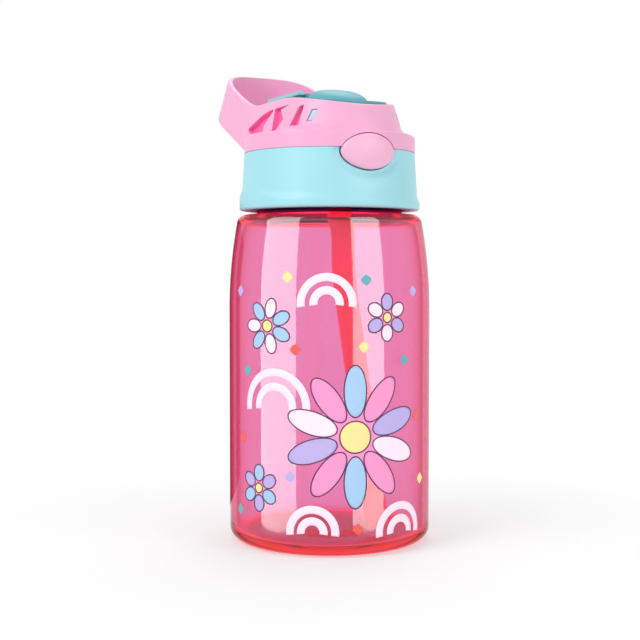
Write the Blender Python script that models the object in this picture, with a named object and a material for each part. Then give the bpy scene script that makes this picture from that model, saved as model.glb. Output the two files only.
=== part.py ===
"""A child's straw bottle: clear bottle, screw lid with a carrying loop, and a sprung flip cover.

Metres, +Z up. The origin is the middle of the flat base. +X points to the push button, -X to the loop.
"""

import math

import bmesh
import bpy
from mathutils import Matrix, Vector

# Fits
CLEARANCE = 0.0003       # gap between pieces that seat on each other
RUNNING_GAP = 0.0004     # gap round a piece that moves in a hole

# Bottle
BODY_RADIUS = 0.037
BODY_WALL = 0.0022
BASE_CORNER = 0.005
FLOOR_THICKNESS = 0.0032
FLOOR_BOSS_RADIUS = 0.012    # raised middle of the floor
FLOOR_BOSS_HEIGHT = 0.0012
BARREL_HEIGHT = 0.085        # straight part of the side
SHOULDER_RADIUS = 0.0342
SHOULDER_HEIGHT = 0.1196
SHOULDER_FILLET = 0.0034
NECK_RADIUS = 0.0266
NECK_WALL = 0.0022
NECK_LENGTH = 0.0174

# Collar
GASKET_THICKNESS = 0.0018
GASKET_WIDTH = 0.0036
DECK_THICKNESS = 0.0026
COLLAR_LIFT = 0.0016         # its lower edge stands this far above the shoulder
COLLAR_WALL = 0.004
THREAD_ROOM = 0.0008         # radial room for the screw thread
LIP_FLARE = 0.0018
LIP_HEIGHT = 0.0042
LIP_WAVE = 0.0037            # the flared lip is taller by this much round the back
WAVE_START = 59              # degrees from the front where it starts to rise
WAVE_END = 111

# Handle shell
RING_HEIGHT = 0.0058         # round foot of the shell, in line with the collar
RING_WALL = 0.0029
LEDGE_THICKNESS = 0.002
SHELL_WALL = 0.002
SHELL_EDGE = 0.0006          # rounding of the wall's edges
SHELL_DRAFT = 0.004          # the walls lean in by this much from foot to rim
FRONT_CENTRE = 0.0076        # X of the front arc's centre
LOOP_CENTRE = -0.046         # X of the loop's rear arc's centre
RIM_HEIGHT = 0.0132          # the rim's level part above the ledge
RIM_FALL = 0.0039            # the rim falls by this much towards the front
FALL_START = -0.005
SWEEP_START = -0.020         # X where the rim starts to sweep up to the loop
SWEEP_END = -0.070
LOOP_LIFT = 0.018            # and how far it rises
LOOP_RISE = 0.5              # slope of the loop's lower edge
WINDOW_SILL = 0.0014         # the windows' lower edge above the ledge
WINDOW_HEIGHT = 0.0084
LEAF_REAR = -0.0245          # X of the leaf-shaped window's two ends
LEAF_FRONT = -0.0042
ARROW_REAR = -0.003          # X of the arrowhead's back and tip
ARROW_TIP = 0.0066
SLOT_X = 0.0146              # X of the middle of the slanted slot
SLOT_WIDTH = 0.004
THIN_SLOT_X = 0.0203
THIN_SLOT_WIDTH = 0.0018
POCKET_REAR = -0.0275        # X of the pocket behind the windows, from end to end
POCKET_FRONT = 0.0105
POCKET_WALL = 0.0012
POCKET_FACE = 0.0158         # Y of its back wall
POCKET_EDGE = 0.0122         # Y of its shelf's inner edge
POCKET_DROP = 0.003          # its top lies this far below the rim's level part

# Hinge and cover
PIN_X = -0.007
PIN_ABOVE_RIM = 0.0009       # above the rim's level part
PIN_RADIUS = 0.0012
KNUCKLE_RADIUS = 0.0025
KNUCKLE_WIDTH = 0.0032
COVER_SINK = 0.0006          # the cover's plate reaches this far below the rim
DOME_CENTRE = 0.007
DOME_LENGTH = 0.023
DOME_WIDTH = 0.022
DOME_HEIGHT = 0.0056        # above the lower side of the plate
DOME_WALL = 0.0016
PLATE_GAP = 0.0006           # between the cover's plate and the shell's wall
PLATE_REAR = -0.001          # X of the plate's rear edge
PLATE_THICKNESS = 0.0015
TONGUE_LENGTH = 0.0044       # below the front of the rim
TONGUE_THICKNESS = 0.0014
PAD_RADIUS = 0.004
PAD_THICKNESS = 0.0014
PAD_X = 0.008

# Spout frame
FRAME_REAR = -0.0100
FRAME_FRONT = 0.0242
FRAME_WALL = 0.0015
FRAME_WIDTH = 0.0204
FRAME_HEIGHT = 0.0137        # side walls above the deck
FRAME_FRONT_HEIGHT = 0.0092
EAR_RADIUS = 0.0026
FLANGE_START = 0.0165        # X of the top flange's rear edge
FLANGE_THICKNESS = 0.0014
CLIP_DEPTH = 0.005           # the clip in each thin slot, from the flange outwards
BRIDGE_END = -0.036          # X of the bridge's rear edge
BRIDGE_ARMS = -0.003         # its two arms reach forward to this X
BRIDGE_WIDTH = 0.023
BRIDGE_THICKNESS = 0.0018
BRIDGE_ABOVE_PIN = 0.0028    # top of the bridge above the pin

# Mouthpiece and straw
SOCKET_X = 0.003
SOCKET_BORE = 0.0018
SOCKET_STEM_RADIUS = 0.0043
SOCKET_FLANGE_RADIUS = 0.0056
SOCKET_HEIGHT = 0.0032       # above the frame's floor
STUB_RADIUS = 0.003
STUB_LENGTH = 0.006
NOZZLE_BALL = 0.0032         # round root that the nozzle folds on
NOZZLE_LENGTH = 0.0135
NOZZLE_TIP_RADIUS = 0.0036
NOZZLE_BORE = 0.0014
NOZZLE_FOLD = math.radians(70)
STRAW_RADIUS = 0.0043
STRAW_FOOT = (0.015, 0.012, 0.006)
STRAW_BEND = (0.0054, 0.0026, 0.113)
STRAW_MIDDLE = (0.006, 0.0031, 0.096)
STRAW_STRAIGHT = 0.0075      # upright length below the socket
VALVE_PLACE = (-0.014, 0.009)
VALVE_RADIUS = 0.0032
VALVE_STEM = 0.002
VALVE_CAP = 0.001

# Button and latch
BUTTON_WIDTH = 0.0208
BUTTON_HEIGHT = 0.0126
BUTTON_DROP = 0.0014         # its middle lies this far below the seam
BUTTON_CROWN = 0.0016        # stands proud of the collar
BUTTON_DEPTH = 0.0013        # goes into the collar
BUTTON_TRAVEL = 0.0015
DISH_WIDTH = 0.003           # shallow dish in the collar round the button
LATCH_BACK = 0.0198          # X of the fork's rear face
LATCH_THICKNESS = 0.0016
LATCH_STEM_WIDTH = 0.0068
LATCH_STEM_HEIGHT = 0.002
PRONG_WIDTH = 0.0022
PRONG_GAP = 0.0108
NOSE_REACH = 0.0008
NOSE_HEIGHT = 0.0016

# Springs
BUTTON_SPRING_RADIUS = 0.0019
BUTTON_SPRING_LENGTH = 0.0063
BUTTON_SPRING_WIRE = 0.0003
BUTTON_SPRING_TURNS = 5
COVER_SPRING_WIRE = 0.00035
COVER_SPRING_TURNS = 6
COVER_SPRING_WIDTH = 0.007
SPRING_SEAT = 0.001          # thickness of the seat behind the button spring

# Facets
TURN_STEPS = 48
SMALL_STEPS = 20
WIRE_STEPS = 6
COIL_STEPS = 12

# Heights and radii that follow from the sizes above
NECK_TOP = SHOULDER_HEIGHT + NECK_LENGTH
GASKET_BOTTOM = NECK_TOP + CLEARANCE
DECK_BOTTOM = GASKET_BOTTOM + GASKET_THICKNESS + CLEARANCE
SEAM = DECK_BOTTOM + DECK_THICKNESS
DECK_TOP = SEAM + CLEARANCE
COLLAR_BOTTOM = SHOULDER_HEIGHT + COLLAR_LIFT
COLLAR_BORE = NECK_RADIUS + THREAD_ROOM
COLLAR_RADIUS = COLLAR_BORE + COLLAR_WALL
LEDGE = DECK_TOP + RING_HEIGHT
SHELL_FOOT = COLLAR_RADIUS - FRONT_CENTRE      # half width of the shell at its foot
SHELL_RIM = SHELL_FOOT - SHELL_DRAFT           # and at its rim
RIM_TOP = LEDGE + RIM_HEIGHT
RIM_FRONT = RIM_TOP - RIM_FALL
PIN_Z = RIM_TOP + PIN_ABOVE_RIM
PLATE_RADIUS = SHELL_RIM - SHELL_WALL - PLATE_GAP
FRAME_FLOOR = DECK_TOP + FRAME_WALL
FRAME_TOP = DECK_TOP + FRAME_HEIGHT
BUTTON_MIDDLE = SEAM - BUTTON_DROP
NOZZLE_PIVOT = FRAME_FLOOR + CLEARANCE + SOCKET_HEIGHT + CLEARANCE + NOZZLE_BALL
LATCH_BOTTOM = FRAME_FLOOR + RUNNING_GAP
LATCH_FRONT = COLLAR_RADIUS - BUTTON_DEPTH - RUNNING_GAP


# Blender helpers

def clear_scene():
    for old in list(bpy.data.objects):
        bpy.data.objects.remove(old)


def material(name, colour, roughness, metallic=0.0, alpha=1.0):
    made = bpy.data.materials.new(name)
    made.use_nodes = True
    shader = made.node_tree.nodes["Principled BSDF"]
    shader.inputs["Base Color"].default_value = (*colour, 1.0)
    shader.inputs["Roughness"].default_value = roughness
    shader.inputs["Metallic"].default_value = metallic
    shader.inputs["Alpha"].default_value = alpha
    return made


def make_object(name, bm, finish=None):
    """Closes a bmesh into an object with smooth round faces and outward normals."""
    bmesh.ops.recalc_face_normals(bm, faces=bm.faces)
    mesh = bpy.data.meshes.new(name)
    bm.to_mesh(mesh)
    bm.free()
    made = bpy.data.objects.new(name, mesh)
    bpy.context.scene.collection.objects.link(made)
    mesh.shade_smooth()
    mesh.set_sharp_from_angle(angle=math.radians(35))
    if finish:
        mesh.materials.append(finish)
    return made


def loft(name, rings, finish=None, closed=False):
    """Skins a row of rings of points. A ring of one point is a pole; other open ends are capped."""
    bm = bmesh.new()
    rows = [[bm.verts.new(point) for point in ring] for ring in rings]
    pairs = list(zip(rows, rows[1:]))
    if closed:
        pairs.append((rows[-1], rows[0]))
    for first, second in pairs:
        count = max(len(first), len(second))
        for i in range(count):
            j = (i + 1) % count
            if len(first) == 1:
                bm.faces.new((first[0], second[j], second[i]))
            elif len(second) == 1:
                bm.faces.new((first[i], first[j], second[0]))
            else:
                bm.faces.new((first[i], first[j], second[j], second[i]))
    if not closed:
        for row in (rows[0], rows[-1]):
            if len(row) > 1:
                bm.faces.new(row)
    return make_object(name, bm, finish)


def turned(name, profile, finish=None, steps=TURN_STEPS, place=(0, 0), rise=None):
    """Turns a profile of (radius, height) points about the vertical through place. It closes on itself.

    rise gives some points, by their place in the profile, an extra height that depends on the angle.
    """
    rings = []
    for index, (radius, height) in enumerate(profile):
        count = 1 if radius == 0 else steps
        extra = (rise or {}).get(index, lambda turn: 0)
        turns = [math.tau * i / steps for i in range(count)]
        ring = []
        for turn in turns:
            x = place[0] + radius * math.cos(turn)
            y = place[1] + radius * math.sin(turn)
            ring.append((x, y, height + extra(turn)))
        rings.append(ring)
    return loft(name, rings, finish, closed=profile[0][0] > 0 or profile[-1][0] > 0)


def extruded(name, outline, axis, low, high, finish=None):
    """Pushes a flat outline along X, Y or Z. The outline's two numbers are the other axes, in order."""
    def place(point, level):
        coords = list(point)
        coords.insert("XYZ".index(axis), level)
        return coords
    return loft(name, [[place(p, level) for p in outline] for level in (low, high)], finish)


def sloped_plate(name, outline, bottom, thickness):
    """A flat plate seen from above as an outline, whose lower side follows a height along X."""
    levels = (0, thickness)
    return loft(name, [[(x, y, bottom(x) + level) for x, y in outline] for level in levels])


def box(name, low, high, finish=None):
    outline = [(low[0], low[1]), (high[0], low[1]), (high[0], high[1]), (low[0], high[1])]
    return extruded(name, outline, "Z", low[2], high[2], finish)


def combine(target, tool, operation):
    """Adds or cuts with a tool that stays hidden in the file."""
    tool.hide_render = True
    tool.display_type = "WIRE"
    step = target.modifiers.new(f"{operation.lower()}_{tool.name}", "BOOLEAN")
    step.operation = operation
    step.object = tool
    return target


def add(target, *tools):
    for tool in tools:
        combine(target, tool, "UNION")
    return target


def cut(target, *tools):
    for tool in tools:
        combine(target, tool, "DIFFERENCE")
    return target


def axis_empty(name, place):
    """An empty on a joint's axis, which carries the pieces that move there."""
    empty = bpy.data.objects.new(name, None)
    empty.location = place
    bpy.context.scene.collection.objects.link(empty)
    bpy.context.view_layer.update()
    return empty


def carry(empty, *pieces):
    for piece in pieces:
        piece.parent = empty
        piece.matrix_parent_inverse = empty.matrix_world.inverted()


def arc(centre, radius, start, end, steps):
    """Points on a circle, from one angle in degrees to another, both ends included."""
    turns = [math.radians(start + (end - start) * i / steps) for i in range(steps + 1)]
    return [(centre[0] + radius * math.cos(t), centre[1] + radius * math.sin(t)) for t in turns]


def smooth_points(points, per_span, closed=False):
    """A smooth curve through points, which it passes evenly."""
    found = [Vector(p) for p in points]
    count = len(found)
    spans = count if closed else count - 1
    result = []
    for i in range(spans):
        if closed:
            a, b, c, d = (found[(i + k) % count] for k in (-1, 0, 1, 2))
        else:
            a, b, c, d = (found[min(max(i + k, 0), count - 1)] for k in (-1, 0, 1, 2))
        for step in range(per_span):
            t = step / per_span
            result.append(0.5 * (
                2 * b + (c - a) * t + (2 * a - 5 * b + 4 * c - d) * t ** 2
                + (3 * b - a - 3 * c + d) * t ** 3
            ))
    if not closed:
        result.append(found[-1])
    return result


def sweep_rings(path, radius, steps):
    """Rings of points round a path, kept square to it without twist."""
    rings = []
    side = None
    for i, point in enumerate(path):
        ahead = (path[min(i + 1, len(path) - 1)] - path[max(i - 1, 0)]).normalized()
        if side is None:
            side = ahead.orthogonal().normalized()
        side = (side - ahead * side.dot(ahead)).normalized()
        other = ahead.cross(side)
        rings.append([
            point + radius * (math.cos(math.tau * k / steps) * side + math.sin(math.tau * k / steps) * other)
            for k in range(steps)
        ])
    return rings


def coil_path(centre, axis, radius, length, turns):
    """Points of a helix along a unit axis, centred on its middle."""
    ahead = Vector(axis)
    side = ahead.orthogonal().normalized()
    other = ahead.cross(side)
    count = turns * COIL_STEPS
    path = []
    for i in range(count + 1):
        turn = math.tau * i / COIL_STEPS
        along = length * (i / count - 0.5)
        spoke = math.cos(turn) * side + math.sin(turn) * other
        path.append(Vector(centre) + ahead * along + radius * spoke)
    return path


# Bottle

def barrel_profile(inset):
    """Outer side of the bottle from the base corner to the shoulder, moved inwards by inset."""
    draw_in = BODY_RADIUS - SHOULDER_RADIUS
    fillet_start = SHOULDER_HEIGHT - SHOULDER_FILLET
    points = []
    for i in range(6):
        height = BARREL_HEIGHT + (fillet_start - BARREL_HEIGHT) * i / 5
        share = (height - BARREL_HEIGHT) / (fillet_start - BARREL_HEIGHT)
        points.append((BODY_RADIUS - draw_in * share ** 2 - inset, height))
    return points


def bottle_body(finish):
    flat_radius = BODY_RADIUS - BASE_CORNER
    corner = arc((flat_radius, BASE_CORNER), BASE_CORNER, -90, 0, 5)
    fillet_centre = (SHOULDER_RADIUS - SHOULDER_FILLET, SHOULDER_HEIGHT - SHOULDER_FILLET)
    fillet = arc(fillet_centre, SHOULDER_FILLET, 0, 90, 5)[1:]
    neck_fillet = 0.4 * SHOULDER_FILLET
    neck = arc((NECK_RADIUS + neck_fillet, SHOULDER_HEIGHT + neck_fillet), neck_fillet, 270, 180, 3)
    lip = NECK_WALL / 3
    outer = [(0, 0)] + corner + barrel_profile(0) + fillet + neck
    mouth = [(NECK_RADIUS, NECK_TOP - lip), (NECK_RADIUS - lip, NECK_TOP)]
    mouth += [(NECK_RADIUS - NECK_WALL + lip, NECK_TOP), (NECK_RADIUS - NECK_WALL, NECK_TOP - lip)]
    inner_fillet = SHOULDER_FILLET - BODY_WALL / 2
    inner_shoulder = SHOULDER_HEIGHT - BODY_WALL
    inner_centre = (SHOULDER_RADIUS - BODY_WALL - inner_fillet, inner_shoulder - inner_fillet)
    inner = [(NECK_RADIUS - NECK_WALL, inner_shoulder)]
    inner += arc(inner_centre, inner_fillet, 90, 0, 4)
    inner += barrel_profile(BODY_WALL)[-2::-1]
    inner_corner = 0.8 * BASE_CORNER
    corner_centre = (BODY_RADIUS - BODY_WALL - inner_corner, FLOOR_THICKNESS + inner_corner)
    inner += arc(corner_centre, inner_corner, 0, -90, 4)
    boss_top = FLOOR_THICKNESS + FLOOR_BOSS_HEIGHT
    inner += [(FLOOR_BOSS_RADIUS + FLOOR_BOSS_HEIGHT, FLOOR_THICKNESS), (FLOOR_BOSS_RADIUS, boss_top)]
    inner += [(0, boss_top)]
    return turned("bottle_body", outer + mouth + inner, finish)


def neck_gasket(finish):
    outer = NECK_RADIUS
    top = GASKET_BOTTOM + GASKET_THICKNESS
    inner = outer - GASKET_WIDTH
    profile = [(outer, top), (outer, GASKET_BOTTOM), (inner, GASKET_BOTTOM), (inner, top)]
    return turned("neck_gasket", profile, finish)


# Button outline, shared by the button, its well and the dish round it

def button_section(grow, level, scale=1.0, steps=32):
    """The button's oval at a depth, wrapped round the collar: a ring of points at X = level on the middle."""
    half_width = BUTTON_WIDTH / 2 + grow
    half_height = BUTTON_HEIGHT / 2 + grow
    ring = []
    for i in range(steps):
        turn = math.tau * i / steps
        across = math.cos(turn)
        y = scale * half_width * math.copysign(abs(across) ** 1.1, across)
        z = scale * half_height * math.sin(turn)
        wrap = COLLAR_RADIUS - math.sqrt(COLLAR_RADIUS ** 2 - y ** 2)
        ring.append((level - wrap, y, BUTTON_MIDDLE + z))
    return ring


def button_well(name, floor):
    """Straight-sided oval cutter that the button moves in."""
    outside = COLLAR_RADIUS + 3 * BUTTON_CROWN
    return loft(name, [
        [(floor, 0, BUTTON_MIDDLE)],
        button_section(RUNNING_GAP, floor),
        button_section(RUNNING_GAP, outside),
        [(outside, 0, BUTTON_MIDDLE)],
    ])


def lip_wave(turn):
    """How much taller the collar's flared lip is at an angle from the front."""
    away = abs(math.degrees(math.remainder(turn, math.tau)))
    return LIP_WAVE * eased((away - WAVE_START) / (WAVE_END - WAVE_START))


def collar(finish):
    top_edge = 0.0007
    lip_top = COLLAR_BOTTOM + LIP_HEIGHT
    lip_radius = COLLAR_RADIUS + LIP_FLARE
    waist = COLLAR_RADIUS + 0.3 * LIP_FLARE
    lip_edge = 0.3 * LIP_HEIGHT
    profile = [(0, SEAM), (COLLAR_RADIUS - top_edge, SEAM), (COLLAR_RADIUS, SEAM - top_edge)]
    profile += [(waist, lip_top + lip_edge), (lip_radius, lip_top - lip_edge)]
    profile += [(lip_radius, COLLAR_BOTTOM + lip_edge), (lip_radius - lip_edge, COLLAR_BOTTOM)]
    profile += [(COLLAR_BORE + lip_edge, COLLAR_BOTTOM), (COLLAR_BORE, COLLAR_BOTTOM + lip_edge)]
    profile += [(COLLAR_BORE, DECK_BOTTOM), (0, DECK_BOTTOM)]
    ring = turned("collar", profile, finish, rise={3: lip_wave, 4: lip_wave})
    well_floor = COLLAR_RADIUS - BUTTON_DEPTH - BUTTON_TRAVEL - RUNNING_GAP
    dish_outside = COLLAR_RADIUS + BUTTON_CROWN
    dish_floor = COLLAR_RADIUS - 0.8 * BUTTON_DEPTH
    dish = loft("cut_button_dish", [
        [(dish_floor, 0, BUTTON_MIDDLE)],
        button_section(0.2 * DISH_WIDTH, dish_floor),
        button_section(DISH_WIDTH, COLLAR_RADIUS),
        button_section(2 * DISH_WIDTH, dish_outside),
        [(dish_outside, 0, BUTTON_MIDDLE)],
    ])
    socket_hole = hole("cut_collar_socket", SOCKET_X, 0, SOCKET_STEM_RADIUS, DECK_BOTTOM, SEAM)
    valve_hole = hole("cut_collar_valve", *VALVE_PLACE, VALVE_STEM, DECK_BOTTOM, SEAM)
    return cut(ring, button_well("cut_collar_well", well_floor), dish, socket_hole, valve_hole)


def hole(name, x, y, radius, low, high):
    """Upright round cutter for a stem of that radius, through a plate from low to high."""
    grow = radius + CLEARANCE
    profile = [(0, high + radius), (grow, high + radius), (grow, low - radius), (0, low - radius)]
    return turned(name, profile, steps=SMALL_STEPS, place=(x, y))


# Handle shell

def eased(share):
    """From 0 to 1, level at both ends."""
    held = min(max(share, 0), 1)
    return held ** 2 * (3 - 2 * held)


def rim_height(x):
    """Upper edge of the shell: it falls to the front, runs level and sweeps up along the loop."""
    fall = max((x - FALL_START) / (FRONT_CENTRE + SHELL_RIM - FALL_START), 0) ** 2
    sweep = eased((SWEEP_START - x) / (SWEEP_START - SWEEP_END))
    return RIM_TOP - RIM_FALL * fall + LOOP_LIFT * sweep


def foot_height(x):
    """Lower edge of the shell's wall: inside the ring it stands on the ledge, behind it the loop rises."""
    leaves_ring = -math.sqrt(COLLAR_RADIUS ** 2 - SHELL_FOOT ** 2)
    if x < leaves_ring:
        return DECK_TOP + LOOP_RISE * (leaves_ring - x)
    inside = LEDGE - LEDGE_THICKNESS
    return DECK_TOP + (inside - DECK_TOP) * eased((x - leaves_ring) / (SHELL_FOOT / 3))


def shell_outline(side_steps=10, arc_steps=18):
    """Stations round the shell: (centre X, unit normal) pairs, front arc, side, rear arc, side."""
    stations = []
    for i in range(arc_steps):
        turn = math.radians(-90 + 180 * i / arc_steps)
        stations.append((FRONT_CENTRE, turn))
    for i in range(side_steps):
        stations.append((FRONT_CENTRE + (LOOP_CENTRE - FRONT_CENTRE) * i / side_steps, math.radians(90)))
    for i in range(arc_steps):
        stations.append((LOOP_CENTRE, math.radians(90 + 180 * i / arc_steps)))
    for i in range(side_steps):
        stations.append((LOOP_CENTRE + (FRONT_CENTRE - LOOP_CENTRE) * i / side_steps, math.radians(270)))
    return [(centre, Vector((math.cos(turn), math.sin(turn), 0))) for centre, turn in stations]


def shell_wall():
    """The leaning wall that runs round the lid and out into the loop, with rounded edges."""
    rings = []
    for centre, normal in shell_outline():
        start = Vector((centre, 0, 0))
        foot = start + SHELL_FOOT * normal
        rim = start + SHELL_RIM * normal
        low, high = foot_height(foot.x), rim_height(rim.x)
        edge = SHELL_EDGE / (high - low)
        section = [(SHELL_EDGE, 0), (0, edge), (0, 1 - edge), (SHELL_EDGE, 1)]
        section += [(SHELL_WALL - inset, share) for inset, share in reversed(section)]
        ring = []
        for inset, share in section:
            point = foot.lerp(rim, share) - inset * normal
            point.z = low + (high - low) * share
            ring.append(point)
        rings.append(ring)
    return loft("join_shell_wall", rings, closed=True)


def shell_windows():
    """Cutters for the loop's side windows: a leaf, an arrowhead and two slanted slots, through both walls."""
    leaf = [(0, 0.38), (0.3, 0.69), (0.69, 0.93), (1, 0.98), (0.85, 0.62), (0.72, 0.33)]
    leaf += [(0.75, 0.1), (0.49, 0.01), (0.16, 0.1)]
    leaf = smooth_points(leaf, 3, closed=True)
    arrow = [(0, 1), (1.23, 1.02), (0.57, 0.88), (1, 0.43), (0.54, -0.02), (0.19, -0.02)]
    slot = [(-0.55, 0.07), (0.5, 0.05), (0.5, 0.93), (0, 0.88)]
    shapes = {
        "leaf": (leaf, LEAF_REAR, LEAF_FRONT - LEAF_REAR),
        "arrowhead": (arrow, ARROW_REAR, ARROW_TIP - ARROW_REAR),
        "slot": (slot, SLOT_X, SLOT_WIDTH),
    }
    sill = LEDGE + WINDOW_SILL
    reach = 2 * SHELL_FOOT
    tools = [extruded("cut_thin_slot", thin_slot(0), "Y", -reach, reach)]
    for name, (outline, start, width) in shapes.items():
        placed = [(start + width * share, sill + WINDOW_HEIGHT * height) for share, height in outline]
        tools.append(extruded(f"cut_{name}", placed, "Y", -reach, reach))
    return tools


def thin_slot(inset):
    """Outline of the front slot, which the frame's clip fills, made smaller by inset."""
    sill = LEDGE + WINDOW_SILL
    low, high = sill + 0.19 * WINDOW_HEIGHT + inset, sill + 0.71 * WINDOW_HEIGHT - inset
    half = THIN_SLOT_WIDTH / 2 - inset
    lean = 0.15 * THIN_SLOT_WIDTH
    rear, front = THIN_SLOT_X - half, THIN_SLOT_X + half
    return [(rear - lean, low), (front - lean, low), (front + lean, high), (rear + lean, high)]


def window_pocket(side, name):
    """Back wall and ends behind the windows of one side, with an inner shelf; open above."""
    top = RIM_TOP - POCKET_DROP
    shelf = top - POCKET_WALL
    inside = POCKET_FACE - POCKET_WALL
    wall_low = SHELL_FOOT - 0.75 * SHELL_WALL
    wall_high = SHELL_RIM - 0.25 * SHELL_WALL
    outline = [(inside, LEDGE), (wall_low, LEDGE), (wall_high, top)]
    outline += [(POCKET_EDGE, top), (POCKET_EDGE, shelf), (inside, shelf)]
    placed = [(side * y, z) for y, z in outline]
    pocket = extruded(f"join_{name}_pocket", placed, "X", POCKET_REAR, POCKET_FRONT)
    near, far = sorted((side * POCKET_FACE, side * 2 * SHELL_FOOT))
    low = (POCKET_REAR + POCKET_WALL, near, LEDGE - POCKET_WALL)
    high = (POCKET_FRONT - POCKET_WALL, far, RIM_TOP)
    return cut(pocket, box(f"cut_{name}_pocket", low, high))


def stadium(half_width, front, rear, steps=12):
    """Long rounded outline seen from above."""
    nose = arc((front, 0), half_width, -90, 90, steps)
    tail = arc((rear, 0), half_width, 90, 270, steps)
    return nose + tail


def handle_shell(finish):
    inner = COLLAR_RADIUS - RING_WALL
    edge = SHELL_EDGE
    ledge_bottom = LEDGE - LEDGE_THICKNESS
    flange = 0.6 * SHELL_FOOT
    profile = [(flange, LEDGE), (COLLAR_RADIUS - edge, LEDGE), (COLLAR_RADIUS, LEDGE - edge)]
    profile += [(COLLAR_RADIUS, DECK_TOP), (inner, DECK_TOP), (inner, ledge_bottom), (flange, ledge_bottom)]
    ring = turned("handle_shell", profile, finish)
    half_wall = SHELL_FOOT - SHELL_WALL / 2
    opening = stadium(half_wall, FRONT_CENTRE, LOOP_CENTRE)
    cut(ring, extruded("cut_shell_inside", opening, "Z", ledge_bottom - CLEARANCE, RIM_TOP))
    wall = cut(shell_wall(), *shell_windows())
    add(ring, wall, window_pocket(1, "left"), window_pocket(-1, "right"))
    well_floor = inner - BUTTON_TRAVEL
    return cut(ring, button_well("cut_shell_well", well_floor))


# Spout frame

def frame_bridge():
    """Flat bridge behind the cover, with two arms that run forward along the hinge ears."""
    half = BRIDGE_WIDTH / 2
    notch_half = FRAME_WIDTH / 2 - FRAME_WALL
    notch_end = PIN_X - KNUCKLE_RADIUS - RUNNING_GAP
    corner = 0.6 * half
    side = arc((BRIDGE_END + corner, half - corner), corner, 180, 90, 5)
    side += [(BRIDGE_ARMS, half), (BRIDGE_ARMS, notch_half), (notch_end, notch_half)]
    outline = side + [(x, -y) for x, y in reversed(side)]
    top = PIN_Z + BRIDGE_ABOVE_PIN
    return extruded("join_bridge", outline, "Z", top - BRIDGE_THICKNESS, top)


def spout_frame(finish):
    half = FRAME_WIDTH / 2
    inside = half - FRAME_WALL
    floor = box("spout_frame", (FRAME_REAR, -half, DECK_TOP), (FRAME_FRONT, half, FRAME_FLOOR), finish)
    front_top = DECK_TOP + FRAME_FRONT_HEIGHT
    cheek = [(FRAME_REAR, DECK_TOP), (FRAME_FRONT, DECK_TOP), (FRAME_FRONT, front_top)]
    cheek += [(FRAME_FRONT - 0.6 * SHELL_DRAFT, FRAME_TOP), (PIN_X + 2.4 * EAR_RADIUS, FRAME_TOP)]
    cheek += arc((PIN_X, PIN_Z), EAR_RADIUS, -15, 180, 10)
    for side, name in ((1, "left"), (-1, "right")):
        low, high = sorted((side * inside, side * half))
        add(floor, extruded(f"join_{name}_cheek", cheek, "Y", low, high))
    front_low = (FRAME_FRONT - FRAME_WALL, -half, DECK_TOP)
    front = box("join_frame_front", front_low, (FRAME_FRONT, half, front_top))
    rear_low = (FRAME_REAR, -half, DECK_TOP)
    rear = box("join_frame_rear", rear_low, (FRAME_REAR + FRAME_WALL, half, front_top))
    seat_x = spring_seat_face()
    seat_half = BUTTON_SPRING_RADIUS + FRAME_WALL
    seat_top = LATCH_BOTTOM + LATCH_STEM_HEIGHT + FRAME_WALL
    seat_low = (seat_x - SPRING_SEAT, -seat_half, DECK_TOP)
    seat = box("join_spring_seat", seat_low, (seat_x, seat_half, seat_top))
    add(floor, front, rear, frame_bridge(), seat, frame_flange())
    slot_half = LATCH_STEM_WIDTH / 2 + RUNNING_GAP
    slot_top = LATCH_BOTTOM + LATCH_STEM_HEIGHT + RUNNING_GAP
    slot_low = (FRAME_FRONT - 2 * FRAME_WALL, -slot_half, FRAME_FLOOR)
    slot = box("cut_latch_slot", slot_low, (2 * FRAME_FRONT, slot_half, slot_top))
    socket_hole = hole("cut_frame_socket", SOCKET_X, 0, SOCKET_STEM_RADIUS, DECK_TOP, FRAME_FLOOR)
    return cut(floor, slot, socket_hole, pin_hole("cut_frame_pin", BRIDGE_WIDTH / 2))


def frame_flange():
    """Flat top of the frame, from the cheeks out to the shell's wall, with a clip in each thin slot."""
    top = FRAME_TOP
    share = (top - LEDGE) / (RIM_FRONT - LEDGE)
    room = SHELL_FOOT - SHELL_DRAFT * share - SHELL_WALL - 2 * CLEARANCE
    turn = math.degrees(math.acos((FLANGE_START - FRONT_CENTRE) / room))
    outline = arc((FRONT_CENTRE, 0), room, -turn, turn, 16)
    flange = extruded("join_flange", outline, "Z", top - FLANGE_THICKNESS, top)
    slot_high = max(z for x, z in thin_slot(0))
    outside = SHELL_FOOT - SHELL_DRAFT * (slot_high - LEDGE) / (RIM_FRONT - LEDGE)
    slot_front = THIN_SLOT_X + THIN_SLOT_WIDTH / 2 - FRONT_CENTRE
    reach = math.sqrt(outside ** 2 - slot_front ** 2) - CLEARANCE
    add(flange, extruded("join_left_clip", thin_slot(CLEARANCE), "Y", reach - CLIP_DEPTH, reach))
    add(flange, extruded("join_right_clip", thin_slot(CLEARANCE), "Y", -reach, CLIP_DEPTH - reach))
    inside = FRAME_WIDTH / 2 - FRAME_WALL / 2
    middle = box("cut_flange_middle", (FRAME_REAR, -inside, FRAME_FLOOR), (2 * FRAME_FRONT, inside, PIN_Z))
    return cut(flange, middle)


def pin_hole(name, half_length):
    """Cutter along the cover's hinge."""
    radius = PIN_RADIUS + CLEARANCE
    outline = arc((PIN_X, PIN_Z), radius, 0, 360, SMALL_STEPS)[:-1]
    return extruded(name, outline, "Y", -half_length - PIN_RADIUS, half_length + PIN_RADIUS)


# Cover

def cover_plane(x):
    """Lower side of the cover's plate, which slopes from the rim's level part to its front."""
    front = FRONT_CENTRE + PLATE_RADIUS
    slope = (rim_height(PLATE_REAR) - rim_height(front)) / (front - PLATE_REAR)
    return rim_height(front) - COVER_SINK + slope * (front - x)


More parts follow.
